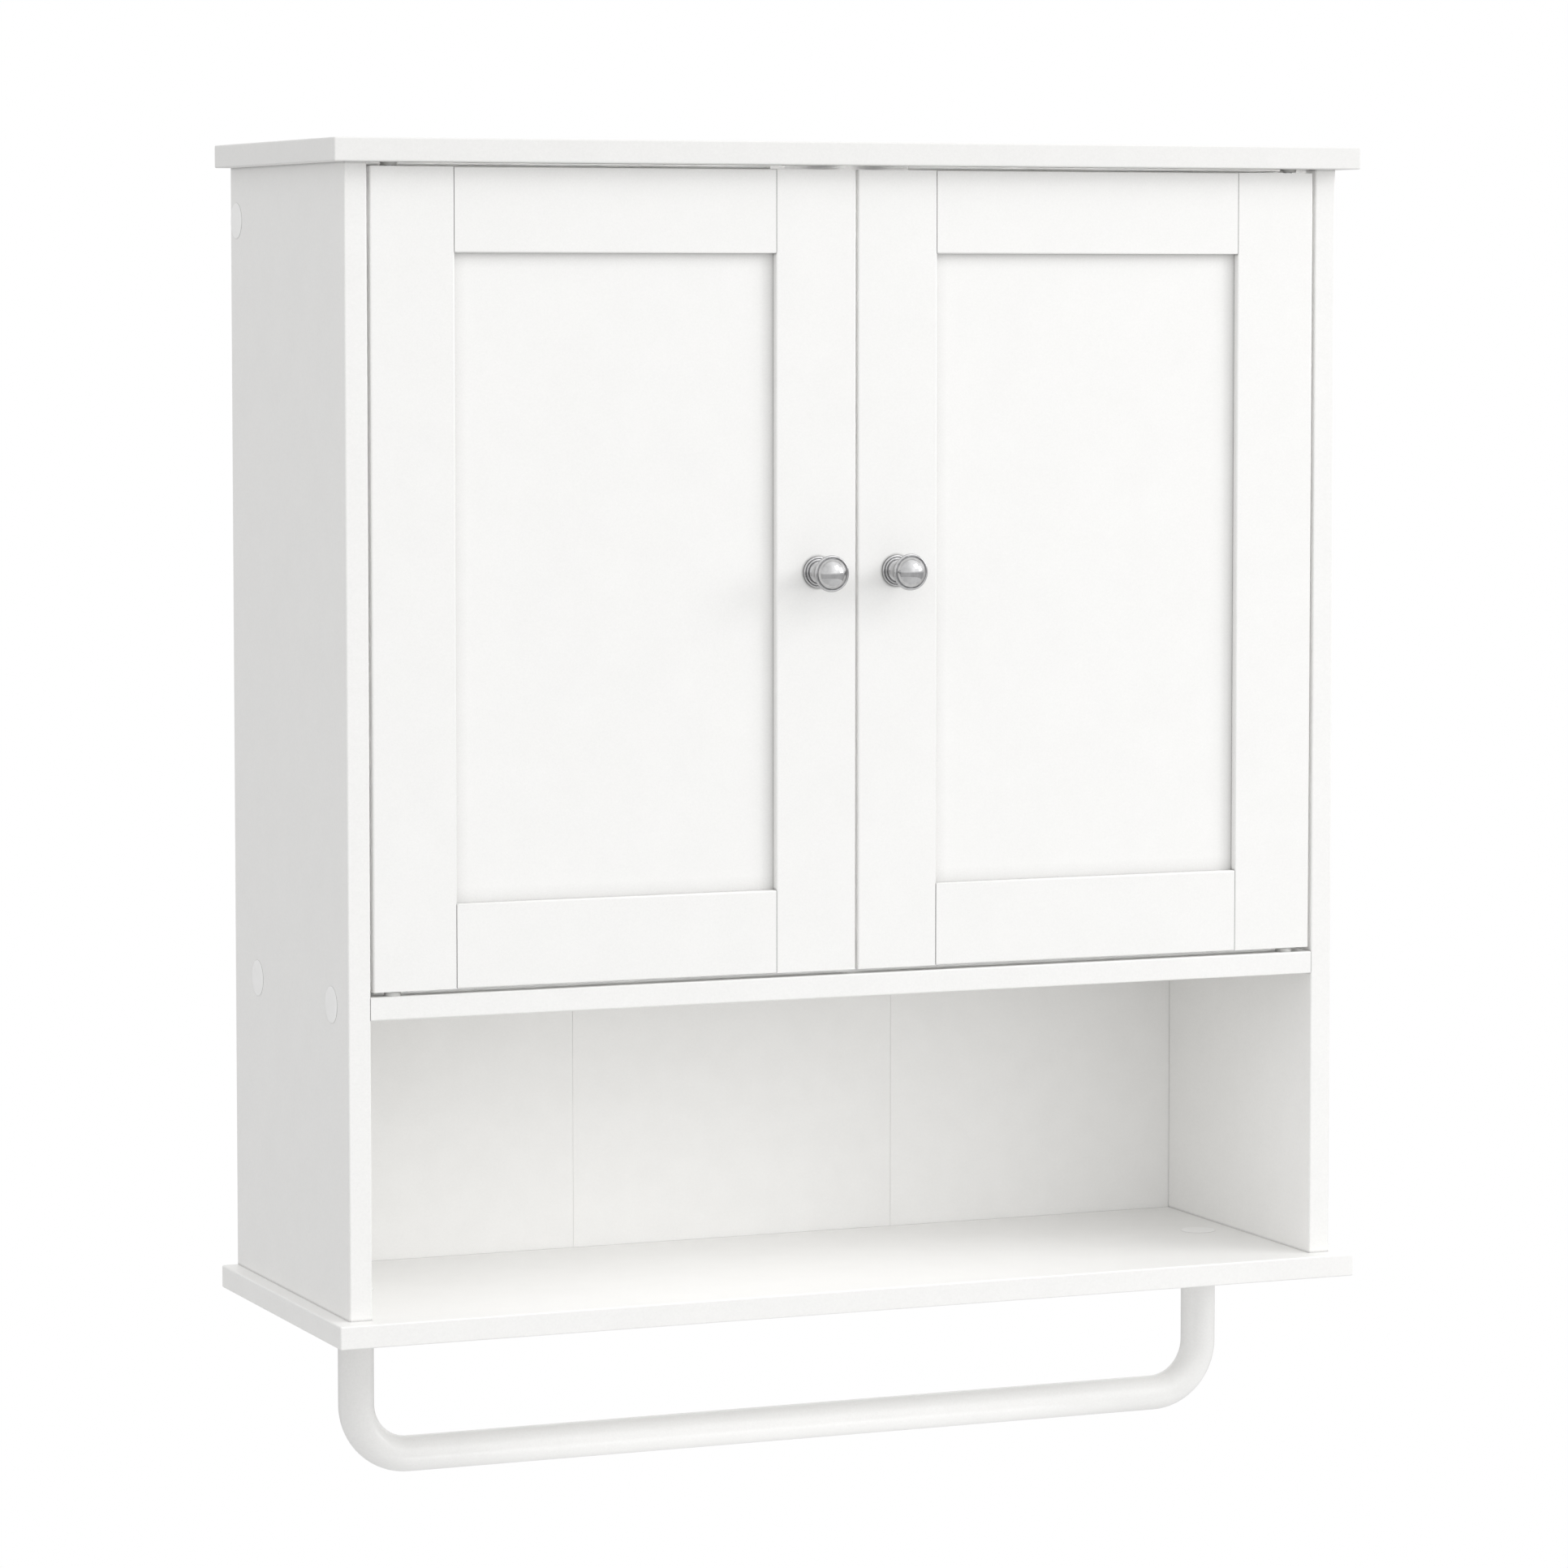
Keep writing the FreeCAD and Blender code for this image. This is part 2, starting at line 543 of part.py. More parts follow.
def make_carcass_screws():
    """The screws that hold the carcass together, their heads just below the surface."""
    top, bottom, shelf = [], [], []
    for name, side, depth in both_sides_and_depths("dims.screw_front", "dims.screw_rear"):
        x = f"{side} * {SIDE_MIDDLE}"
        high = f"({TOP_SURFACE} - dims.slack)"
        low = f"({FLOOR_UNDERSIDE} + dims.slack)"
        top.append(wood_screw(f"top_screw_{name}", (x, depth, high), (0, 0, -1)))
        bottom.append(wood_screw(f"bottom_screw_{name}", (x, depth, low), (0, 0, 1)))
    for name, side, depth in both_sides_and_depths("dims.shelf_screw_front", "dims.screw_rear"):
        x = f"{side} * ({HALF_BODY} - dims.slack)"
        shelf.append(wood_screw(f"shelf_screw_{name}", (x, depth, SHELF_MIDDLE), (-side, 0, 0)))
    rail = [wood_screw(f"rail_screw_{name}",
                       (f"{side} * ({HALF_BODY} - dims.slack)", "-dims.rail_thick / 2",
                        WALL_HOLE_HEIGHT),
                       (-side, 0, 0)) for name, side in SIDES]
    grouped("top_board_screws", top)
    grouped("bottom_board_screws", bottom)
    grouped("middle_shelf_screws", shelf)
    grouped("hanging_rail_screws", rail)


def make_dowels():
    dowels = []
    for name, side, depth in both_sides_and_depths("dims.dowel_front", "dims.dowel_rear"):
        x = f"{side} * {SIDE_MIDDLE}"
        top_end = f"({TOP_UNDERSIDE} + dims.joint_depth)"
        bottom_end = f"({FLOOR_SURFACE} - dims.joint_depth)"
        dowels.append(new_cylinder(f"top_dowel_{name}", "dims.dowel_radius", "dims.dowel_length",
                                   (x, depth, top_end), turned_to((0, 0, -1))))
        dowels.append(new_cylinder(f"bottom_dowel_{name}", "dims.dowel_radius",
                                   "dims.dowel_length", (x, depth, bottom_end)))
    grouped("wood_dowels", dowels)


def cover_disc(name, at, direction):
    """A thin disc with a rounded rim that hides a screw head."""
    disc = new_cylinder(f"{name}_blank", "dims.disc_radius", "dims.disc_thick")
    rounded = doc.addObject("Part::Fillet", name)
    rounded.Base = disc
    doc.recompute()
    radius = value("dims.disc_thick") / 2
    rim = [number for number, edge in enumerate(disc.Shape.Edges, start=1)
           if edge.CenterOfMass.z > radius and len(edge.Vertexes) == 1]
    rounded.Edges = [(number, radius, radius) for number in rim]
    return place(rounded, *at, turned_to(direction))


def make_cover_discs():
    top, sides, floor = [], [], []
    for name, side, depth in both_sides_and_depths("dims.screw_front", "dims.screw_rear"):
        at = (f"{side} * {SIDE_MIDDLE}", depth, TOP_SURFACE)
        top.append(cover_disc(f"top_disc_{name}", at, (0, 0, 1)))
    for name, side, depth in both_sides_and_depths("dims.shelf_screw_front", "dims.screw_rear"):
        at = (f"{side} * {HALF_BODY}", depth, SHELF_MIDDLE)
        sides.append(cover_disc(f"shelf_disc_{name}", at, (side, 0, 0)))
    for name, side in SIDES:
        rail_at = (f"{side} * {HALF_BODY}", "-dims.disc_radius - dims.slack", WALL_HOLE_HEIGHT)
        sides.append(cover_disc(f"rail_disc_{name}", rail_at, (side, 0, 0)))
        bar_at = (f"{side} * dims.bar_half_span", "-dims.bar_setback", FLOOR_SURFACE)
        floor.append(cover_disc(f"bar_disc_{name}", bar_at, (0, 0, 1)))
    grouped("top_screw_caps", top)
    grouped("side_screw_caps", sides)
    grouped("towel_bar_screw_caps", floor)


def make_shelf_pins():
    pins = []
    for name, side, depth in both_sides_and_depths("dims.shelf_hole_front", "dims.shelf_hole_rear"):
        pin = new_cylinder(f"pin_{name}", "dims.shelf_pin_radius",
                           "dims.joint_depth + dims.shelf_pin_reach")
        collar = new_cylinder(f"pin_collar_{name}", "dims.pin_collar_radius",
                              "dims.shelf_side_gap - 2 * dims.slack",
                              ("0", "0", "dims.joint_depth"))
        at = (f"{side} * ({HALF_INNER} + dims.joint_depth)", depth, "dims.shelf_pin_height")
        shelf_pin = fused(f"shelf_pin_{name}", [pin, collar])
        pins.append(place(shelf_pin, *at, turned_to((-side, 0, 0))))
    grouped("shelf_pins", pins)


# ---------------------------------------------------------------- towel bar
def make_towel_bar():
    """A tube bent into a U, hanging from the bottom board."""
    body = new_body("towel_bar", "-dims.bar_half_span", "-dims.bar_setback", FLOOR_UNDERSIDE)
    path = new_sketch(body, "centre_line", "XZ_Plane")
    bend, drop, span = value("dims.bar_bend"), value("dims.bar_drop"), 2 * value("dims.bar_half_span")
    # How far, along each axis, the middle of a bend lies from the corner of its square.
    slant = bend * (1 - math.cos(math.pi / 4))
    corner = FreeCAD.Vector
    path.addGeometry(Part.LineSegment(corner(0, 0, 0), corner(0, bend - drop, 0)), False)
    path.addGeometry(Part.Arc(corner(0, bend - drop, 0), corner(slant, slant - drop, 0),
                              corner(bend, -drop, 0)), False)
    path.addGeometry(Part.LineSegment(corner(bend, -drop, 0), corner(span - bend, -drop, 0)), False)
    path.addGeometry(Part.Arc(corner(span - bend, -drop, 0), corner(span - slant, slant - drop, 0),
                              corner(span, bend - drop, 0)), False)
    path.addGeometry(Part.LineSegment(corner(span, bend - drop, 0), corner(span, 0, 0)), False)
    depth = "(dims.bar_bend - dims.bar_drop)"
    path.addConstraint(Sketcher.Constraint("Coincident", 0, 1, -1, 1))
    for line, point, x, y in ((0, 2, "0", depth), (2, 1, "dims.bar_bend", "-dims.bar_drop"),
                              (2, 2, "2 * dims.bar_half_span - dims.bar_bend", "-dims.bar_drop"),
                              (4, 1, "2 * dims.bar_half_span", depth),
                              (4, 2, "2 * dims.bar_half_span", "0")):
        tie(path, line, point, x, y)
    for arc, before, after in ((1, 0, 2), (3, 2, 4)):
        ends = end_points(path, arc, path.getPoint(before, 2))
        path.addConstraint(Sketcher.Constraint("Coincident", before, 2, arc, ends[0]))
        path.addConstraint(Sketcher.Constraint("Coincident", arc, ends[1], after, 1))
        radius = path.addConstraint(Sketcher.Constraint("Radius", arc, bend))
        path.setExpression(f"Constraints[{radius}]", "dims.bar_bend")
    ring = new_sketch(body, "tube_section")
    add_circle(ring, "0", "0", "dims.bar_radius")
    add_circle(ring, "0", "0", "dims.bar_radius - dims.bar_wall")
    doc.recompute()
    tube = body.newObject("PartDesign::AdditivePipe", "tube")
    tube.Profile = ring
    tube.Spine = (path, [f"Edge{number}" for number in range(1, 6)])
    doc.recompute()
    outer, inner = value("dims.bar_radius"), value("dims.bar_radius - dims.bar_wall")
    section = math.pi * (outer ** 2 - inner ** 2)
    length = sum(edge.Length for edge in path.Shape.Edges)
    if abs(body.Shape.Volume / (section * length) - 1) > TUBE_VOLUME_TOLERANCE:
        raise RuntimeError("towel_bar: the tube's volume is not its section times its length")


def make_towel_bar_fixings():
    """A threaded plug in the top of each leg, and the screw that pulls it up to the board."""
    inserts, screws = [], []
    for name, side in SIDES:
        x = f"{side} * dims.bar_half_span"
        at = (x, "-dims.bar_setback", f"({FLOOR_UNDERSIDE} - dims.bar_insert_length)")
        plug = new_cylinder(f"{name}_plug", "dims.bar_radius - dims.bar_wall - dims.slack / 2",
                            "dims.bar_insert_length", at)
        bore = new_cylinder(f"{name}_plug_bore", "dims.bar_screw_radius + dims.bore_clearance",
                            "dims.bar_insert_length", at)
        inserts.append(cut(f"{name}_insert", plug, bore))
        head_at = (x, "-dims.bar_setback", f"({FLOOR_SURFACE} - dims.slack)")
        screws.append(new_screw(f"{name}_bar_screw", "dims.bar_screw_radius",
                                "dims.bar_screw_length", "dims.bar_screw_head_radius",
                                "dims.bar_screw_head_thick", head_at, (0, 0, -1)))
    grouped("towel_bar_inserts", inserts)
    grouped("towel_bar_screws", screws)


# ---------------------------------------------------------------- magnetic catch
def make_catch():
    """A double magnetic catch under the top board, behind the edges where the doors meet."""
    rear = "dims.catch_front + dims.catch_depth"
    low_z = f"({TOP_UNDERSIDE} - dims.catch_height)"
    body = new_body("catch_housing", "-dims.catch_half_width", "dims.catch_front", low_z)
    outline = new_sketch(body, "outline")
    add_rectangle(outline, "0", "0", "2 * dims.catch_half_width", "dims.catch_depth")
    add_pad(body, outline, "block", "dims.catch_height")
    add_rounding(body, "rounded_corners", "dims.edge_round * 2", lambda edge: runs_along(edge, "z"))
    slot_height = "(dims.magnet_height + 2 * dims.pole_thick + 2 * dims.slack)"
    slot_z = f"(dims.catch_height - dims.magnet_from_top - {slot_height} / 2)"
    slots = new_sketch(body, "magnet_slot_outline", "XZ_Plane")
    for side in (-1, 1):
        near = "dims.magnet_inner - dims.slack"
        far = "dims.magnet_inner + dims.magnet_width + dims.slack"
        x = f"(dims.catch_half_width + {mirrored(side, near, far)})"
        add_rectangle(slots, x, slot_z, "(dims.magnet_width + 2 * dims.slack)", slot_height)
    add_pocket(body, slots, "magnet_slots", "dims.magnet_depth + dims.slack")
    holes = new_sketch(body, "screw_outline")
    heads = new_sketch(body, "screw_head_outline")
    for side in (-1, 1):
        x = f"(dims.catch_half_width + {side} * dims.catch_screw_offset)"
        add_circle(holes, x, "dims.catch_depth / 2", "dims.small_screw_radius + dims.slack")
        add_circle(heads, x, "dims.catch_depth / 2", "dims.small_screw_head_radius + dims.slack")
    add_pocket(body, holes, "screw_holes", "dims.catch_height", True)
    add_pocket(body, heads, "screw_head_holes", "dims.catch_height / 2", True)

    magnet_middle = f"({TOP_UNDERSIDE} - dims.magnet_from_top)"
    magnets, poles, screws = [], [], []
    for name, side in SIDES:
        x = mirrored(side, "dims.magnet_inner", "dims.magnet_inner + dims.magnet_width")
        low = f"({magnet_middle} - dims.magnet_height / 2)"
        magnets.append(new_box(f"{name}_magnet", (x, "dims.catch_front", low),
                               ("dims.magnet_width", "dims.magnet_depth", "dims.magnet_height")))
        high = f"({magnet_middle} + dims.magnet_height / 2)"
        for level, pole_z in (("lower", f"({low} - dims.pole_thick)"), ("upper", high)):
            poles.append(new_box(f"{name}_{level}_pole",
                                 (x, "dims.catch_front - dims.pole_proud", pole_z),
                                 ("dims.magnet_width", "dims.magnet_depth + dims.pole_proud",
                                  "dims.pole_thick")))
        screw_at = (f"{side} * dims.catch_screw_offset", f"({rear} - dims.catch_depth / 2)",
                    f"({low_z} + dims.catch_height / 2 - dims.screw_head_thick)")
        screws.append(new_screw(f"{name}_catch_screw", "dims.small_screw_radius",
                                "(dims.catch_height / 2 + dims.joint_depth)",
                                "dims.small_screw_head_radius", "dims.screw_head_thick",
                                screw_at, (0, 0, 1)))
    grouped("catch_magnets", magnets)
    grouped("catch_pole_plates", poles)
    grouped("catch_screws", screws)


# ---------------------------------------------------------------- doors
def make_stile(name, side, which, near, far):
    """An upright of a door's frame, grooved on the edge that faces the panel."""
    label = f"{name}_{which}_stile"
    body = new_body(label, mirrored(side, near, far), f"-{FRONT}", DOOR_BOTTOM)
    outline = new_sketch(body, "outline")
    add_rectangle(outline, "0", "0", "dims.stile_width", "dims.door_thick")
    add_pad(body, outline, "upright", DOOR_HEIGHT)
    add_rounding(body, "rounded_edges", "dims.edge_round", lambda edge: runs_along(edge, "z"))
    faces_right = (which == "outer") == (side < 0)
    groove = new_sketch(body, "groove_outline")
    groove_x = "(dims.stile_width - dims.door_groove)" if faces_right else "0"
    groove_width = "(dims.door_panel_thick + 2 * dims.slack)"
    add_rectangle(groove, groove_x, f"(dims.door_thick - {groove_width}) / 2", "dims.door_groove",
                  groove_width)
    add_pocket(body, groove, "groove", DOOR_HEIGHT, True)
    return body


def make_door_stiles(name, side):
    outer_near = f"({DOOR_OUTER} - dims.stile_width)"
    outer = make_stile(name, side, "outer", outer_near, DOOR_OUTER)
    pivot_near = f"({PIVOT_X} - {outer_near})"
    pivot_far = f"({DOOR_OUTER} - {PIVOT_X})"
    pivot_x = pivot_near if side > 0 else pivot_far
    for end, lift, cut_up in (("lower", "0", True), ("upper", DOOR_HEIGHT, False)):
        hole = new_sketch(outer, f"{end}_pin_outline", lift=lift)
        add_circle(hole, pivot_x, "dims.pivot_from_front", "dims.pin_radius + dims.press_clearance")
        add_pocket(outer, hole, f"{end}_pin_hole", "dims.pin_in_door", cut_up)
    inner_far = f"({DOOR_INNER} + dims.stile_width)"
    inner = make_stile(name, side, "inner", DOOR_INNER, inner_far)
    knob_near = f"(dims.knob_offset - {DOOR_INNER})"
    knob_x = knob_near if side > 0 else f"({inner_far} - dims.knob_offset)"
    hole = new_sketch(inner, "knob_screw_outline", "XZ_Plane")
    add_circle(hole, knob_x, f"({DOOR_HEIGHT} / 2)", "dims.pin_radius + dims.slack")
    add_pocket(inner, hole, "knob_screw_hole", "dims.door_thick")
    strike_x = "(dims.strike_inner + dims.strike_width / 2 - dims.door_centre_gap / 2)"
    plate_x = strike_x if side > 0 else f"(dims.stile_width - {strike_x})"
    pilot = new_sketch(inner, "strike_screw_outline", "XZ_Plane", "-dims.door_thick")
    strike_z = f"({DOOR_HEIGHT} - dims.strike_from_top + dims.door_top_gap - dims.strike_height / 2)"
    add_circle(pilot, plate_x, strike_z, "dims.strike_screw_radius + dims.slack / 2")
    add_pocket(inner, pilot, "strike_screw_hole", "dims.joint_depth", True)


def make_door_rail(name, side, which, height, groove_lift, cut_up):
    """A cross rail of a door's frame, with a stub tenon at each end."""
    length = f"({DOOR_OUTER} - {DOOR_INNER} - 2 * dims.stile_width)"
    near = f"({DOOR_INNER} + dims.stile_width - dims.door_tongue)"
    far = f"({DOOR_OUTER} - dims.stile_width + dims.door_tongue)"
    body = new_body(f"{name}_{which}_rail", mirrored(side, near, far), f"-{FRONT}", height)
    outline = new_sketch(body, "outline")
    add_rectangle(outline, "dims.door_tongue", "0", length, "dims.door_thick")
    add_pad(body, outline, "rail", "dims.cross_rail_width")
    add_rounding(body, "rounded_edges", "dims.edge_round", lambda edge: runs_along(edge, "x"))
    tenon = new_sketch(body, "tenon_outline")
    tenon_y = "(dims.door_thick - dims.door_panel_thick) / 2"
    whole = f"({length} + 2 * dims.door_tongue)"
    add_rectangle(tenon, "0", tenon_y, whole, "dims.door_panel_thick")
    add_pad(body, tenon, "tenons", "dims.cross_rail_width")
    groove = new_sketch(body, "groove_outline", lift=groove_lift)
    groove_width = "(dims.door_panel_thick + 2 * dims.slack)"
    add_rectangle(groove, "0", f"(dims.door_thick - {groove_width}) / 2", whole, groove_width)
    add_pocket(body, groove, "groove", "dims.door_groove", cut_up)


def make_door_panel(name, side):
    near = f"({DOOR_INNER} + dims.stile_width - dims.door_tongue)"
    far = f"({DOOR_OUTER} - dims.stile_width + dims.door_tongue)"
    low_y = "-(dims.side_depth - (dims.door_thick - dims.door_panel_thick) / 2)"
    low_z = f"({DOOR_BOTTOM} + dims.cross_rail_width - dims.door_tongue)"
    height = f"({DOOR_HEIGHT} - 2 * dims.cross_rail_width + 2 * dims.door_tongue)"
    new_box(f"{name}_door_panel", (mirrored(side, near, far), low_y, low_z),
            (f"({far} - {near})", "dims.door_panel_thick", height))


def make_knob(name, side):
    """A turned knob: a stepped foot, a waisted neck, a rim and a domed face."""
    body = new_body(f"{name}_knob", f"{side} * dims.knob_offset", f"-{FRONT}", DOOR_MIDDLE)
    profile = new_sketch(body, "profile")
    rim, reach, distance = "dims.knob_rim_radius", "dims.knob_reach", "dims.knob_rim_distance"
    foot, step, neck = "dims.knob_base_radius", "dims.knob_step_radius", "dims.knob_neck_radius"
    bore, bore_depth = "dims.knob_bore_radius", "-dims.knob_bore_depth"
    dome_radius = f"({rim} - dims.knob_dome_inset)"
    dome_height = f"({reach} - {distance} - dims.knob_dome_start)"
    ball = f"(({dome_radius} ^ 2 + {dome_height} ^ 2) / (2 * {dome_height}))"
    dome_bulge = f"({ball} - sqrt({ball} ^ 2 - ({dome_radius} ^ 2 + {dome_height} ^ 2) / 4))"
    points = [
        (bore, "0"), (foot, "0"),
        (foot, "-dims.knob_foot_height", "dims.knob_foot_round"),
        (f"{foot} - dims.knob_chamfer", "-dims.knob_chamfer_end"),
        (step, "-dims.knob_step_start"),
        (step, "-dims.knob_step_end", "dims.knob_step_round"),
        (f"{step} - dims.knob_flare", "-dims.knob_neck_start", "-dims.knob_neck_curve"),
        (neck, "-dims.knob_waist", "-dims.knob_neck_curve"),
        (f"{rim} - dims.knob_lip", f"-{distance} + dims.knob_lip_height"),
        (rim, f"-{distance}", "dims.knob_bead_round"),
        (f"{rim} - dims.knob_bead_taper", f"-{distance} - dims.knob_bead_height"),
        (dome_radius, f"-{distance} - dims.knob_dome_start", dome_bulge),
        ("0", f"-{reach}"), ("0", bore_depth), (bore, bore_depth),
    ]
    add_outline(profile, points)
    doc.recompute()
    turned = body.newObject("PartDesign::Revolution", "turned")
    turned.Profile = profile
    turned.ReferenceAxis = (profile, ["V_Axis"])
    turned.Angle = 360


def make_door_fittings(name, side):
    """The knob's screw, the pivot pins and the steel plate that the magnet holds."""
    knob_at = (f"{side} * dims.knob_offset", f"-({DOOR_REAR} - dims.screw_head_thick)", DOOR_MIDDLE)
    new_screw(f"{name}_knob_screw", "dims.pin_radius",
              "(dims.door_thick + dims.knob_bore_depth - dims.screw_end_gap)",
              "dims.screw_head_radius", "dims.screw_head_thick", knob_at, (0, -1, 0))
    pin_x = f"{side} * {PIVOT_X}"
    ends = (("top", DOOR_TOP, 1, "dims.door_top_gap"), ("bottom", DOOR_BOTTOM, -1, "dims.door_bottom_gap"))
    for end, door_end, up, gap in ends:
        straight = f"(dims.pin_in_door + {gap} + dims.pin_in_bush - dims.pin_radius / 2)"
        shaft = new_cylinder(f"{name}_{end}_pin_shaft", "dims.pin_radius", straight)
        nose = new_cone(f"{name}_{end}_pin_nose", "dims.pin_radius", "dims.pin_radius / 2",
                        "dims.pin_radius / 2", ("0", "0", straight))
        pin = fused(f"{name}_{end}_pivot_pin", [shaft, nose])
        place(pin, pin_x, f"-{PIVOT_Y}", f"({door_end} - {up} * dims.pin_in_door)",
              turned_to((0, 0, up)))
    strike_top = f"({TOP_UNDERSIDE} - dims.strike_from_top)"
    plate_x = mirrored(side, "dims.strike_inner", "dims.strike_inner + dims.strike_width")
    blank = new_box(f"{name}_strike_blank",
                    (plate_x, f"-{DOOR_REAR}", f"({strike_top} - dims.strike_height)"),
                    ("dims.strike_width", "dims.strike_thick", "dims.strike_height"))
    screw_x = f"{side} * (dims.strike_inner + dims.strike_width / 2)"
    screw_z = f"({strike_top} - dims.strike_height / 2)"
    hole = new_cylinder(f"{name}_strike_hole", "dims.strike_screw_head_radius + dims.slack / 2",
                        "dims.strike_thick", (screw_x, f"-{DOOR_REAR}", screw_z),
                        turned_to((0, 1, 0)))
    cut(f"{name}_strike_plate", blank, hole)
    screw_at = (screw_x, f"-({DOOR_REAR} - dims.strike_thick)", screw_z)
    new_screw(f"{name}_strike_screw", "dims.strike_screw_radius",
              "(dims.joint_depth - dims.screw_end_gap)", "dims.strike_screw_head_radius",
              "dims.strike_thick", screw_at, (0, -1, 0))


def make_pivot_bushes():
    """Flanged bushes in the top board and the middle shelf, which the door pins turn in."""
    for end, face, up, flange in (("top", TOP_UNDERSIDE, 1, "dims.top_flange_thick"),
                                  ("bottom", SHELF_SURFACE, -1, "dims.bottom_flange_thick")):
        bushes = []
        for name, side in SIDES:
            barrel_length = f"(dims.joint_depth - dims.slack + {flange})"
            barrel = new_cylinder(f"{name}_{end}_bush_barrel", "dims.bush_radius", barrel_length)
            rim = new_cylinder(f"{name}_{end}_bush_rim", "dims.bush_flange_radius", flange)
            bore = new_cylinder(f"{name}_{end}_bush_bore", "dims.pin_radius + dims.bore_clearance",
                                barrel_length)
            bush = cut(f"{name}_{end}_bush", fused(f"{name}_{end}_bush_blank", [barrel, rim]), bore)
            at = (f"{side} * {PIVOT_X}", f"-{PIVOT_Y}", f"({face} - {up} * {flange})")
            bushes.append(place(bush, *at, turned_to((0, 0, up))))
        grouped(f"{end}_pivot_bushes", bushes)


def make_door(name, side):
    make_door_stiles(name, side)
    top_height = f"({DOOR_TOP} - dims.cross_rail_width)"
    make_door_rail(name, side, "top", top_height, "0", True)
    make_door_rail(name, side, "bottom", DOOR_BOTTOM, "dims.cross_rail_width", False)
    make_door_panel(name, side)
    make_knob(name, side)
    make_door_fittings(name, side)


# ---------------------------------------------------------------- assembly and output
CARCASS_PARTS = [
    "top_board", "bottom_board", "left_side_panel", "right_side_panel", "middle_shelf",
    "inner_shelf", "back_panel_left", "back_panel_centre", "back_panel_right", "back_fold_tapes",
    "hanging_rail", "top_board_screws", "bottom_board_screws", "middle_shelf_screws",
    "hanging_rail_screws", "wood_dowels", "top_screw_caps", "side_screw_caps",
    "towel_bar_screw_caps", "shelf_pins", "towel_bar", "towel_bar_inserts", "towel_bar_screws",
    "catch_housing", "catch_magnets", "catch_pole_plates", "catch_screws", "top_pivot_bushes",
    "bottom_pivot_bushes",
]
DOOR_PARTS = [
    "outer_stile", "inner_stile", "top_rail", "bottom_rail", "door_panel", "knob", "knob_screw",
    "top_pivot_pin", "bottom_pivot_pin", "strike_plate", "strike_screw",
]


def build():
    make_top_board()
    make_bottom_board()
    for name, side in SIDES:
        make_side_panel(name, side)
    make_middle_shelf()
    make_inner_shelf()
    make_back()
    make_hanging_rail()
    make_carcass_screws()
    make_dowels()
    make_cover_discs()
    make_shelf_pins()
    make_towel_bar()
    make_towel_bar_fixings()
    make_catch()
    make_pivot_bushes()
    for name, side in SIDES:
        make_door(name, side)
    doc.recompute()


def check_and_write():
    """Stop if any object failed, then write each sub-part's shape to its own file."""
    for thing in doc.Objects:
        if "Invalid" in thing.State or "Error" in thing.State:
            raise RuntimeError(f"{thing.Label} failed: {thing.State}")
    labels = CARCASS_PARTS + [f"{name}_{part}" for name, side in SIDES for part in DOOR_PARTS]
    os.makedirs("parts", exist_ok=True)
    for label in labels:
        thing = doc.getObjectsByLabel(label)[0]
        shape = thing.Shape
        if shape.isNull() or not shape.isValid() or not shape.Solids:
            raise RuntimeError(f"{label} has no valid solid")
        shape.exportStep(os.path.join("parts", f"{label}.step"))
    print(f"wrote {len(labels)} parts")


build()
check_and_write()
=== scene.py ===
"""The looks of a hanging wall cabinet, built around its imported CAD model.

Metres. X is to the right, Y is towards the wall and Z is up, as in the CAD model.
"""
import json
import math

import bmesh
import bpy
from mathutils import Matrix, Vector


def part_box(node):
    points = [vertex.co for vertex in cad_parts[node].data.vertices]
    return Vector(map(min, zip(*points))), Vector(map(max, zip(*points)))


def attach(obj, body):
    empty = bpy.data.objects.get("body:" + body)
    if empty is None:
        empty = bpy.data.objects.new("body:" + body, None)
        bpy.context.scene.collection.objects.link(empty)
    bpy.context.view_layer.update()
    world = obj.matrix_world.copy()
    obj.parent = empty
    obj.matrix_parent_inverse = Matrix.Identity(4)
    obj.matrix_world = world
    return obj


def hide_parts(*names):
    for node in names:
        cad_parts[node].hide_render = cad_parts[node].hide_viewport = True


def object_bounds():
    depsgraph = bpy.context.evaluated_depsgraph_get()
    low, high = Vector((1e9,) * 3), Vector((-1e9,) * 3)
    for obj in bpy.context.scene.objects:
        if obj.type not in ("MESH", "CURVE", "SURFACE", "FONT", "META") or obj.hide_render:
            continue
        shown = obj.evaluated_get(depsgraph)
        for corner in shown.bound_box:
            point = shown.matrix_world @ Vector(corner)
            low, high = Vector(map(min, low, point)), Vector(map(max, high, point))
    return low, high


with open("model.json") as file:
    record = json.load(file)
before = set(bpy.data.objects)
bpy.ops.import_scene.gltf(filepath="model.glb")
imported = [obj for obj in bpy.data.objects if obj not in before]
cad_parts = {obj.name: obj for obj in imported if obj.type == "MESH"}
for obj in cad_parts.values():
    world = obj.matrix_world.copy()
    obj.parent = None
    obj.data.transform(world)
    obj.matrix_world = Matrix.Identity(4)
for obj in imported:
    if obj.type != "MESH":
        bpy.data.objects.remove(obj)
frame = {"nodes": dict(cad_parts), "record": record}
cad_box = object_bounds()

MM = 0.001


# ---------------------------------------------------------------- camera and light
def link(thing):
    bpy.context.scene.collection.objects.link(thing)
    return thing


CAMERA_PLACE = (-1.2037, -2.9745, -0.0331)
CAMERA_YAW = math.radians(22.663)
CAMERA_PITCH = math.radians(4.011)
LENS = 133.1553        # focal length and sensor in millimetres
SENSOR_WIDTH = 36.0
LENS_SHIFT = -0.06     # share of the frame
FAR_CLIP = 60.0


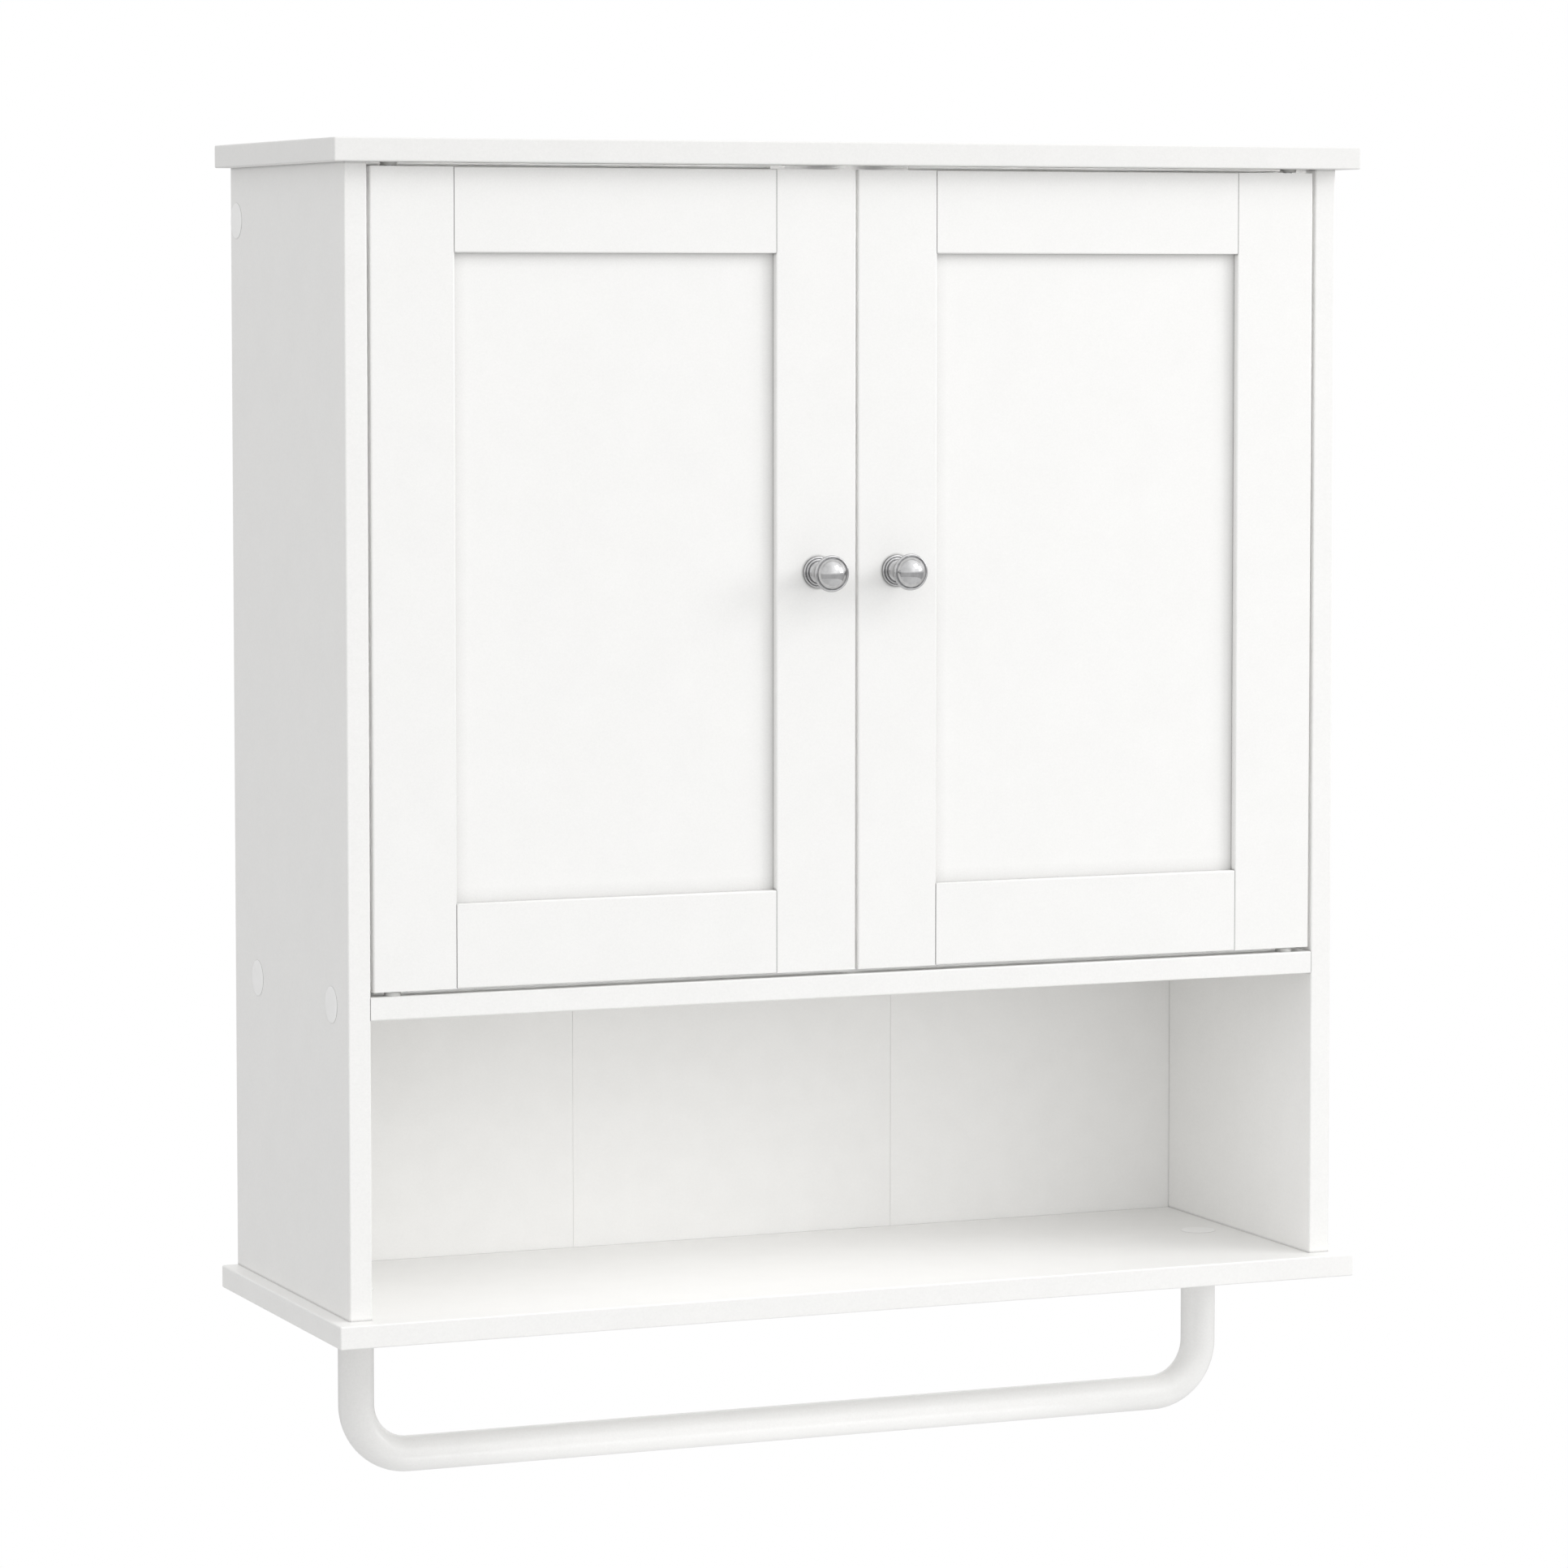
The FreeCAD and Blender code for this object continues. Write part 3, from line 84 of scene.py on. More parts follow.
def make_camera():
    """A long lens, left of the cabinet's middle and looking slightly down."""
    data = bpy.data.cameras.new("camera")
    data.sensor_width = SENSOR_WIDTH
    data.lens = LENS
    data.shift_y = LENS_SHIFT
    data.clip_end = FAR_CLIP
    camera = link(bpy.data.objects.new("camera", data))
    camera.location = CAMERA_PLACE
    level = math.cos(CAMERA_PITCH)
    ahead = Vector((math.sin(CAMERA_YAW) * level, math.cos(CAMERA_YAW) * level, -math.sin(CAMERA_PITCH)))
    camera.rotation_euler = ahead.to_track_quat("-Z", "Y").to_euler()
    bpy.context.scene.camera = camera


# Strengths of the studio's light. Below the horizon it is a share of what it is above.
WORLD_FRONT = 1.03
WORLD_BACK = 0.78
WORLD_BELOW = 0.60
SOFT_BOX = 0.5         # added for reflections, at most, towards the upper right
# Where these change, as components of a direction of length 1.
FRONT_TO_BACK = (-0.8, 0.8)
HORIZON = (-0.10, 0.06)
LEFT_TO_SOFT_BOX = (-0.5, 0.3)
LEVEL_TO_SOFT_BOX = (-0.02, 0.2)


def make_world():
    """A white studio, brighter in front than behind and above than below.

    The camera itself sees it as plain white. Reflections see it brighter towards the upper right,
    as if a soft box hung there.
    """
    world = bpy.data.worlds.new("studio")
    bpy.context.scene.world = world
    world.use_nodes = True
    nodes, links = world.node_tree.nodes, world.node_tree.links
    nodes.clear()
    direction = nodes.new("ShaderNodeTexCoord")
    split = nodes.new("ShaderNodeSeparateXYZ")
    links.new(direction.outputs["Generated"], split.inputs[0])

    def graded(axis, span, at_low, at_high):
        grade = nodes.new("ShaderNodeMapRange")
        grade.interpolation_type = "SMOOTHSTEP"
        for socket, number in zip(("From Min", "From Max", "To Min", "To Max"), (*span, at_low, at_high)):
            grade.inputs[socket].default_value = number
        links.new(split.outputs[axis], grade.inputs["Value"])
        return grade.outputs["Result"]

    path = nodes.new("ShaderNodeLightPath")

    def combined(operation, *values):
        step = nodes.new("ShaderNodeMath")
        step.operation = operation
        for socket, value in zip(step.inputs, values):
            if isinstance(value, (int, float)):
                socket.default_value = value
            else:
                links.new(value, socket)
        return step.outputs[0]

    room = combined("MULTIPLY", graded("Z", HORIZON, WORLD_BELOW, 1.0),
                    graded("Y", FRONT_TO_BACK, WORLD_FRONT, WORLD_BACK))
    soft_box = combined("MULTIPLY", graded("X", LEFT_TO_SOFT_BOX, 0.0, SOFT_BOX),
                        graded("Z", LEVEL_TO_SOFT_BOX, 0.0, 1.0))
    shine = combined("MULTIPLY_ADD", path.outputs["Is Glossy Ray"], soft_box, 1.0)
    lit = nodes.new("ShaderNodeBackground")
    links.new(combined("MULTIPLY", room, shine), lit.inputs["Strength"])
    plain = nodes.new("ShaderNodeBackground")
    mix = nodes.new("ShaderNodeMixShader")
    for background in (lit, plain):
        background.inputs["Color"].default_value = (1, 1, 1, 1)
    links.new(path.outputs["Is Camera Ray"], mix.inputs["Fac"])
    links.new(lit.outputs[0], mix.inputs[1])
    links.new(plain.outputs[0], mix.inputs[2])
    output = nodes.new("ShaderNodeOutputWorld")
    links.new(mix.outputs[0], output.inputs["Surface"])


def area_light(name, place, facing, size, power):
    """A rectangular light of the given width and height that shines along facing."""
    data = bpy.data.lights.new(name, "AREA")
    data.shape = "RECTANGLE"
    data.size, data.size_y = size
    data.energy = power
    light = link(bpy.data.objects.new(name, data))
    light.location = place
    light.rotation_euler = Vector(facing).to_track_quat("-Z", "Y").to_euler()
    light.visible_camera = False


OFF_DOOR = 0.95 * MM   # from a door's outer edge to the light in the gap beside it
STRIP = 0.5 * MM       # width of the lights in the upright gaps
LINE = 1 * MM          # width of the lights in the level gaps


def make_lights():
    """Two large soft lights on the right, and faint fills where the photograph is evenly bright.

    The fills reach into the open shelf, onto the towel bar from below, onto the magnetic catch's
    front and into the narrow gaps around and between the doors, all too dark without them.
    """
    middle = Vector((0, -0.1, -0.25))
    for name, place, side, power in (("key", (2.2, -3.0, 2.6), 2.2, 25),
                                     ("side_light", (3.4, -2.0, 1.0), 1.5, 39)):
        area_light(name, place, middle - Vector(place), (side, side), power)
    shelf, bar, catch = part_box("middle_shelf"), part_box("towel_bar"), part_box("catch_housing")
    door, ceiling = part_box("left_inner_stile"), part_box("top_board")[0].z
    door_back = door[1].y

    area_light("shelf_fill", place=(-20 * MM, shelf[0].y + 3 * MM, shelf[0].z - 18 * MM),
               facing=(0, 0.25, -0.97), size=(420 * MM, 20 * MM), power=0.082)
    area_light("bar_fill", place=(0, bar[0].y - 85 * MM, bar[0].z - 35 * MM),
               facing=(0, 0.9, 0.45), size=(400 * MM, 20 * MM), power=0.062)
    area_light("upper_gap_fill", place=(0, door_back + 1.5 * MM, ceiling - 35 * MM),
               facing=(0, 0.3, 1), size=(536 * MM, LINE), power=0.1)
    left_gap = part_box("left_outer_stile")[0].x - OFF_DOOR
    right_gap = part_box("right_outer_stile")[1].x + OFF_DOOR
    height = (door[0].z + door[1].z) / 2
    for name, gap, power in (("left", left_gap, 0.0045), ("middle", 0.0, 0.012),
                             ("right", right_gap, 0.0085)):
        area_light(f"{name}_gap_fill", place=(gap, door_back + 1 * MM, height),
                   facing=(0, -1, 0), size=(STRIP, 418 * MM), power=power)
    area_light("lower_gap_fill", place=(0, door_back + 7 * MM, shelf[1].z + 10 * MM),
               facing=(0, -0.5, -1), size=(520 * MM, LINE), power=0.018)
    area_light("catch_fill", place=(0, catch[0].y - 9 * MM, door[1].z + 1.1 * MM),
               facing=(0, 1, 0), size=(70 * MM, LINE), power=0.0003)


# ---------------------------------------------------------------- material helpers
def new_material(name, roughness, metallic=0.0):
    material = bpy.data.materials.new(name)
    material.use_nodes = True
    set_shader(material, Roughness=roughness, Metallic=metallic)
    return material


def shader(material):
    return material.node_tree.nodes["Principled BSDF"]


def set_shader(material, **sockets):
    for name, setting in sockets.items():
        shader(material).inputs[name.replace("_", " ")].default_value = setting


def node(material, kind, **inputs):
    made = material.node_tree.nodes.new(kind)
    for name, setting in inputs.items():
        made.inputs[name.replace("_", " ")].default_value = setting
    return made


def connect(material, output, target):
    material.node_tree.links.new(output, target)


def object_place(material, stretch=(1, 1, 1)):
    place = node(material, "ShaderNodeTexCoord")
    mapping = node(material, "ShaderNodeMapping", Scale=stretch)
    connect(material, place.outputs["Object"], mapping.inputs["Vector"])
    return mapping.outputs["Vector"]


def noise(material, scale, detail=2.0, stretch=(1, 1, 1), roughness=0.5):
    """Noise with about scale features to the metre."""
    texture = node(material, "ShaderNodeTexNoise", Scale=scale, Detail=detail, Roughness=roughness)
    connect(material, object_place(material, stretch), texture.inputs["Vector"])
    return texture.outputs["Fac"]


def cells(material, scale, stretch=(1, 1, 1)):
    texture = node(material, "ShaderNodeTexVoronoi", Scale=scale)
    connect(material, object_place(material, stretch), texture.inputs["Vector"])
    return texture.outputs["Distance"]


def ramp(material, fac, low_colour, high_colour, low=0.35, high=0.65):
    made = node(material, "ShaderNodeValToRGB")
    ends = made.color_ramp.elements
    ends[0].position, ends[1].position = low, high
    ends[0].color, ends[1].color = (*low_colour, 1), (*high_colour, 1)
    connect(material, fac, made.inputs["Fac"])
    return made.outputs["Color"]


def multiplied(material, first, second):
    mix = node(material, "ShaderNodeMix")
    mix.data_type, mix.blend_type = "RGBA", "MULTIPLY"
    mix.inputs["Factor"].default_value = 1.0
    connect(material, first, mix.inputs[6])
    connect(material, second, mix.inputs[7])
    return mix.outputs[2]


def varied_roughness(material, fac, low, high):
    spread = node(material, "ShaderNodeMapRange", From_Min=0.3, From_Max=0.7, To_Min=low, To_Max=high)
    connect(material, fac, spread.inputs["Value"])
    connect(material, spread.outputs["Result"], shader(material).inputs["Roughness"])


def bump(material, layers):
    """Chain bumps into the shader. Each is a height, a strength and a depth in metres."""
    last = None
    for height, strength, depth in layers:
        made = node(material, "ShaderNodeBump", Strength=strength, Distance=depth)
        connect(material, height, made.inputs["Height"])
        if last:
            connect(material, last, made.inputs["Normal"])
        last = made.outputs["Normal"]
    connect(material, last, shader(material).inputs["Normal"])


def painted_crevice_shade(material, reach, darkest):
    """Painted shade: a grey from ambient occlusion for multiplying the colour, white in the open and darkest
    in a corner, joint or gap narrower than reach.
    """
    shade = node(material, "ShaderNodeAmbientOcclusion", Distance=reach)
    shade.samples = 4
    return ramp(material, shade.outputs["AO"], grey(darkest, 0), grey(1.0, 0), 0.45, 0.95)


def grey(level, warmth=0.017):
    return (level, level - warmth * 0.25, level - warmth)


def white_surface(name, level, roughness, grain_size, peel_size, coat=0.0, peel=0.25,
                  painted_corner_shade=(0.0014, 0.42)):
    """A white foil, lacquer or powder coat: faint mottle, fine grain and a slight orange peel.

    The last argument paints shade into corners and gaps: how far it reaches, in metres, and the share of the
    white left where it is darkest.
    """
    material = new_material(name, roughness)
    mottle = noise(material, 45, detail=3)
    speckle = noise(material, 1 / grain_size, detail=3, roughness=0.7)
    broad = ramp(material, mottle, grey(level * 0.985), grey(level), 0.3, 0.7)
    fine = ramp(material, speckle, grey(0.955, 0), grey(1.0, 0), 0.3, 0.7)
    paint = multiplied(material, broad, fine)
    # Painted shade: the colour is darkened by ambient occlusion in corners, joints and gaps.
    shaded = multiplied(material, paint, painted_crevice_shade(material, *painted_corner_shade))
    connect(material, shaded, shader(material).inputs["Base Color"])
    varied_roughness(material, noise(material, 120, detail=4), roughness - 0.04, roughness + 0.05)
    set_shader(material, Coat_Weight=coat, Coat_Roughness=0.22)
    bump(material, [(noise(material, 1 / peel_size, detail=1), peel, 0.00006), (speckle, 0.2, 0.00003)])
    return material


def hardboard():
    """Painted white on its face and left as raw brown fibre on its rear."""
    material = new_material("painted_hardboard", 0.5)
    mottle = ramp(material, noise(material, 60, detail=3), grey(0.925), grey(0.94))
    speckle = ramp(material, noise(material, 900, detail=3, roughness=0.7), grey(0.975, 0), grey(1, 0))
    paint = multiplied(material, mottle, speckle)
    fibre = noise(material, 500, detail=6, roughness=0.75)
    raw = ramp(material, fibre, (0.19, 0.105, 0.055), (0.36, 0.225, 0.13), 0.32, 0.68)
    facing = node(material, "ShaderNodeTexCoord")
    split = node(material, "ShaderNodeSeparateXYZ")
    connect(material, facing.outputs["Normal"], split.inputs[0])
    rear = node(material, "ShaderNodeMapRange", From_Min=0.4, From_Max=0.6)
    connect(material, split.outputs["Y"], rear.inputs["Value"])
    mix = node(material, "ShaderNodeMix")
    mix.data_type = "RGBA"
    connect(material, rear.outputs["Result"], mix.inputs["Factor"])
    connect(material, paint, mix.inputs[6])
    connect(material, raw, mix.inputs[7])
    connect(material, mix.outputs[2], shader(material).inputs["Base Color"])
    bump(material, [(fibre, 0.25, 0.00008)])
    return material


def chrome():
    material = new_material("chrome", 0.1, 1.0)
    smear = noise(material, 400, detail=4, stretch=(1, 0.25, 1))
    connect(material, ramp(material, smear, (0.51, 0.51, 0.515), (0.59, 0.59, 0.595)),
            shader(material).inputs["Base Color"])
    set_shader(material, Specular_Tint=(0.5, 0.5, 0.5, 1))
    varied_roughness(material, noise(material, 700, detail=3), 0.05, 0.12)
    bump(material, [(smear, 0.12, 0.00004)])
    return material


def zinc_steel():
    material = new_material("zinc_steel", 0.3, 1.0)
    spangle = cells(material, 900)
    connect(material, ramp(material, spangle, (0.52, 0.53, 0.56), (0.66, 0.66, 0.68), 0.1, 0.7),
            shader(material).inputs["Base Color"])
    varied_roughness(material, noise(material, 600, detail=4), 0.24, 0.42)
    bump(material, [(noise(material, 2500, detail=2), 0.15, 0.00003)])
    return material


def beech():
    """Straight grain along Z with the short flecks of beech."""
    material = new_material("beech", 0.6)
    grain = noise(material, 700, detail=4, stretch=(1, 1, 0.08))
    flecks = noise(material, 2200, detail=1, stretch=(1, 1, 0.25))
    colour = multiplied(material, ramp(material, grain, (0.52, 0.33, 0.18), (0.66, 0.46, 0.28)),
                        ramp(material, flecks, (0.8, 0.76, 0.7), (1, 1, 1), 0.3, 0.45))
    connect(material, colour, shader(material).inputs["Base Color"])
    bump(material, [(grain, 0.3, 0.00008)])
    return material


def paper_tape():
    material = new_material("white_tape", 0.75)
    fibre = noise(material, 1400, detail=4, stretch=(1, 1, 0.4), roughness=0.7)
    connect(material, ramp(material, fibre, (0.72, 0.70, 0.65), (0.84, 0.83, 0.80)),
            shader(material).inputs["Base Color"])
    crease = noise(material, 160, detail=2, stretch=(4, 1, 0.5))
    bump(material, [(crease, 0.4, 0.00012), (fibre, 0.3, 0.00004)])
    return material


def moulded(name, low, high, roughness, clearness=0.0):
    """Moulded nylon or vinyl: a slight cloudiness and a fine mould texture."""
    material = new_material(name, roughness)
    cloud = noise(material, 250, detail=3)
    connect(material, ramp(material, cloud, low, high), shader(material).inputs["Base Color"])
    set_shader(material, Transmission_Weight=clearness)
    varied_roughness(material, cloud, roughness - 0.05, roughness + 0.05)
    bump(material, [(noise(material, 3000, detail=2), 0.12, 0.00003)])
    return material


def ferrite():
    material = new_material("ferrite", 0.65)
    grit = noise(material, 3500, detail=3, roughness=0.8)
    connect(material, ramp(material, grit, (0.018, 0.018, 0.02), (0.06, 0.06, 0.064)),
            shader(material).inputs["Base Color"])
    bump(material, [(grit, 0.5, 0.00008)])
    return material


def floor_surface():
    material = new_material("studio_floor", 0.8)
    sweep = noise(material, 6, detail=4)
    connect(material, ramp(material, sweep, (0.74, 0.74, 0.74), (0.77, 0.77, 0.77)),
            shader(material).inputs["Base Color"])
    bump(material, [(noise(material, 220, detail=3), 0.1, 0.0003)])
    return material


# The last pair in each set is painted shade: how far the colour darkens from corners and gaps, in metres, and
# the share of the white left there. The doors' pair greys the gaps round them; the recess pair, reaching 8
# mm, is the painted shadow round each door panel.
FOIL = {"roughness": 0.42, "grain_size": 0.0011, "peel_size": 0.004, "painted_corner_shade": (0.0014, 0.6)}
LACQUER = {"roughness": 0.36, "grain_size": 0.0009, "peel_size": 0.003, "coat": 0.15}
PAINTED_DOOR_SHADE = (0.0014, 0.32)
PAINTED_RECESS_SHADE = (0.008, 0.76)
POWDER = {"roughness": 0.32, "grain_size": 0.0012, "peel_size": 0.0022, "coat": 0.3, "peel": 0.06}
MATERIALS = {
    "white_foil": white_surface("white_foil", 0.93, **FOIL),
    "white_lacquer": white_surface("white_lacquer", 0.94, **LACQUER, painted_corner_shade=PAINTED_DOOR_SHADE),
    "painted_hardboard": hardboard(),
    "white_tape": paper_tape(),
    "white_vinyl": moulded("white_vinyl", (0.965, 0.963, 0.955), (0.985, 0.983, 0.976), 0.38),
    "white_powder_coat": white_surface("white_powder_coat", 0.87, **POWDER),
    "chrome": chrome(),
    "zinc_steel": zinc_steel(),
    "beech": beech(),
    "white_nylon": moulded("white_nylon", (0.84, 0.84, 0.83), (0.9, 0.9, 0.89), 0.4),
    "natural_nylon": moulded("natural_nylon", (0.86, 0.86, 0.83), (0.93, 0.93, 0.91), 0.4, clearness=0.3),
    "ferrite": ferrite(),
}
# Nodes whose white is tuned to the brightness in the photograph.
TONED = {
    "top_board": white_surface("white_foil_top_board", 0.875, **FOIL),
    "bottom_board": white_surface("white_foil_bottom_board", 0.93, **{**FOIL, "roughness": 0.4}),
}
# The door panels' copies also paint a shadow into the recess round each panel.
for side in ("left", "right"):
    TONED[f"{side}_door_panel"] = white_surface(f"white_lacquer_painted_recess_shade_{side}", 0.945, **LACQUER,
                                                painted_corner_shade=PAINTED_RECESS_SHADE)


# ---------------------------------------------------------------- mesh helpers
SAME_POINT = 1e-6      # corners nearer than this are one corner


def new_piece(name, shape, material, sharp_angle):
    """A piece from a bmesh, shaded smooth except over edges sharper than the given angle."""
    bmesh.ops.recalc_face_normals(shape, faces=shape.faces)
    mesh = bpy.data.meshes.new(name)
    shape.to_mesh(mesh)
    shape.free()
    mesh.polygons.foreach_set("use_smooth", [True] * len(mesh.polygons))
    mesh.set_sharp_from_angle(angle=math.radians(sharp_angle))
    mesh.materials.append(material)
    return link(bpy.data.objects.new(name, mesh))


def swap(piece, node_name, body):
    """Let a piece stand for a CAD node: put it on the node's body and hide the node."""
    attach(piece, body)
    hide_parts(node_name)


def islands(node_name):
    """Lowest and highest corner of each separate solid in a CAD node."""
    shape = bmesh.new()
    shape.from_mesh(frame["nodes"][node_name].data)
    bmesh.ops.remove_doubles(shape, verts=shape.verts, dist=SAME_POINT)
    left = set(shape.verts)
    found = []
    while left:
        start = left.pop()
        group, edge_of_group = [start], [start]
        while edge_of_group:
            for edge in edge_of_group.pop().link_edges:
                for vertex in edge.verts:
                    if vertex in left:
                        left.remove(vertex)
                        group.append(vertex)
                        edge_of_group.append(vertex)
        corners = [[pick(vertex.co[axis] for vertex in group) for axis in range(3)] for pick in (min, max)]
        found.append((Vector(corners[0]), Vector(corners[1])))
    shape.free()
    return sorted(found, key=lambda corners: tuple(round(number, 5) for number in corners[0]))


def curve_points(start, control, end, count):
    """Points on a quadratic curve after its start, up to and including its end."""
    points = []
    for step in range(1, count + 1):
        t = step / count
        points.append(tuple((1 - t) ** 2 * a + 2 * t * (1 - t) * b + t ** 2 * c
                            for a, b, c in zip(start, control, end)))
    return points


def add_lathe(shape, profile, matrix, segments):
    """Turn a profile of (radius, height) about Z, closed at any point of zero radius."""
    rings = []
    for radius, height in profile:
        if radius == 0:
            rings.append([shape.verts.new(matrix @ Vector((0, 0, height)))])
            continue
        ring = []
        for step in range(segments):
            angle = 2 * math.pi * step / segments
            spot = Vector((radius * math.cos(angle), radius * math.sin(angle), height))
            ring.append(shape.verts.new(matrix @ spot))
        rings.append(ring)
    for first, second in zip(rings, rings[1:]):
        for step in range(segments):
            following = (step + 1) % segments
            corners = [first[step % len(first)], first[following % len(first)],
                       second[following % len(second)], second[step % len(second)]]
            shape.faces.new(list(dict.fromkeys(corners)))


# ---------------------------------------------------------------- rebuilt pieces
# How far rims and outer faces stay inside the CAD nodes' boxes, in millimetres.
RIM_INSET = 0.02
FACE_INSET = 0.01


def knob_profile(rim, reach):
    """Radius and distance from the door, in millimetres: rosette, waisted neck, rim and ball."""
    profile = [(0, 0), (8.15, 0), (8.2, 0.15), (8.2, 0.75)]
    profile += curve_points((8.2, 0.75), (8.2, 1.35), (7.75, 1.5), 6)
    profile += curve_points((7.75, 1.5), (7.35, 1.62), (7.3, 1.3), 4)
    profile += curve_points((7.3, 1.3), (7.2, 1.05), (7.05, 1.3), 4)
    profile += curve_points((7.05, 1.3), (7.0, 2.3), (6.5, 2.4), 6)
    profile += curve_points((6.5, 2.4), (6.1, 2.45), (6.1, 2.15), 4)
    profile += curve_points((6.1, 2.15), (6.0, 1.95), (5.85, 2.2), 4)
    profile += curve_points((5.85, 2.2), (5.75, 3.2), (5.2, 3.5), 6)
    profile += curve_points((5.2, 3.5), (4.3, 4.6), (4.25, 9.0), 12)
    profile += curve_points((4.25, 9.0), (4.3, 14.2), (7.3, 16.9), 14)
    profile += curve_points((7.3, 16.9), (8.0, 17.5), (8.9, 17.75), 6)
    profile += curve_points((8.9, 17.75), (rim, 17.9), (rim, 18.7), 7)
    profile += curve_points((rim, 18.7), (rim, 19.5), (rim - 0.55, 19.75), 7)
    profile += curve_points((rim - 0.55, 19.75), (rim - 1.05, 19.75), (rim - 1.1, 19.45), 4)
    profile += curve_points((rim - 1.1, 19.45), (rim - 1.2, 19.3), (rim - 1.35, 19.6), 4)
    edge_radius, edge_height = rim - 1.35, 19.6
    rise = reach - edge_height
    ball = (edge_radius ** 2 + rise ** 2) / (2 * rise)
    span = math.atan2(edge_radius, ball - rise)
    steps = 22
    for step in range(1, steps):
        angle = span * (1 - step / steps)
        profile.append((ball * math.sin(angle), reach - ball + ball * math.cos(angle)))
    profile.append((0, reach))
    return [(radius * MM, height * MM) for radius, height in profile]


def make_knobs():
    for side in ("left", "right"):
        low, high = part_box(f"{side}_knob")
        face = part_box(f"{side}_inner_stile")[0].y
        rim = (high.x - low.x) / 2 / MM - RIM_INSET
        reach = (face - low.y) / MM - FACE_INSET
        centre = Vector(((low.x + high.x) / 2, face, (low.z + high.z) / 2))
        shape = bmesh.new()
        matrix = Matrix.Translation(centre) @ Matrix.Rotation(math.radians(90), 4, "X")
        add_lathe(shape, knob_profile(rim, reach), matrix, segments=128)
        knob = new_piece(f"{side}_turned_knob", shape, MATERIALS["chrome"], sharp_angle=50)
        swap(knob, f"{side}_knob", f"{side}_door")


def make_cover_discs():
    """Thin stuck-on discs with a rounded rim and a barely domed face."""
    for node_name in ("top_screw_caps", "side_screw_caps", "towel_bar_screw_caps"):
        shape = bmesh.new()
        for low, high in islands(node_name):
            size, middle = high - low, (low + high) / 2
            axis = min(range(3), key=lambda number: size[number])
            radius, thick = max(size) / 2 - RIM_INSET * MM, size[axis]
            outward = Vector((0, 0, 0))
            outward[axis] = 1 if axis == 2 or middle.x > 0 else -1
            stuck = middle - outward * thick / 2
            matrix = Matrix.Translation(stuck) @ outward.to_track_quat("Z", "Y").to_matrix().to_4x4()
            foot, lip, rim = radius - 0.3 * MM, 0.1 * MM, thick * 0.7
            face = radius - 0.45 * MM
            profile = [(0, 0), (foot, 0), (radius, lip)]
            profile += curve_points((radius, lip), (radius, rim), (face, rim), 5)
            profile += curve_points((face, rim), (radius * 0.5, thick), (0, thick), 6)
            profile[-1] = (0, thick)
            add_lathe(shape, profile, matrix, segments=72)
        discs = new_piece(node_name.replace("caps", "discs"), shape, MATERIALS["white_vinyl"],
                          sharp_angle=60)
        swap(discs, node_name, "carcass")


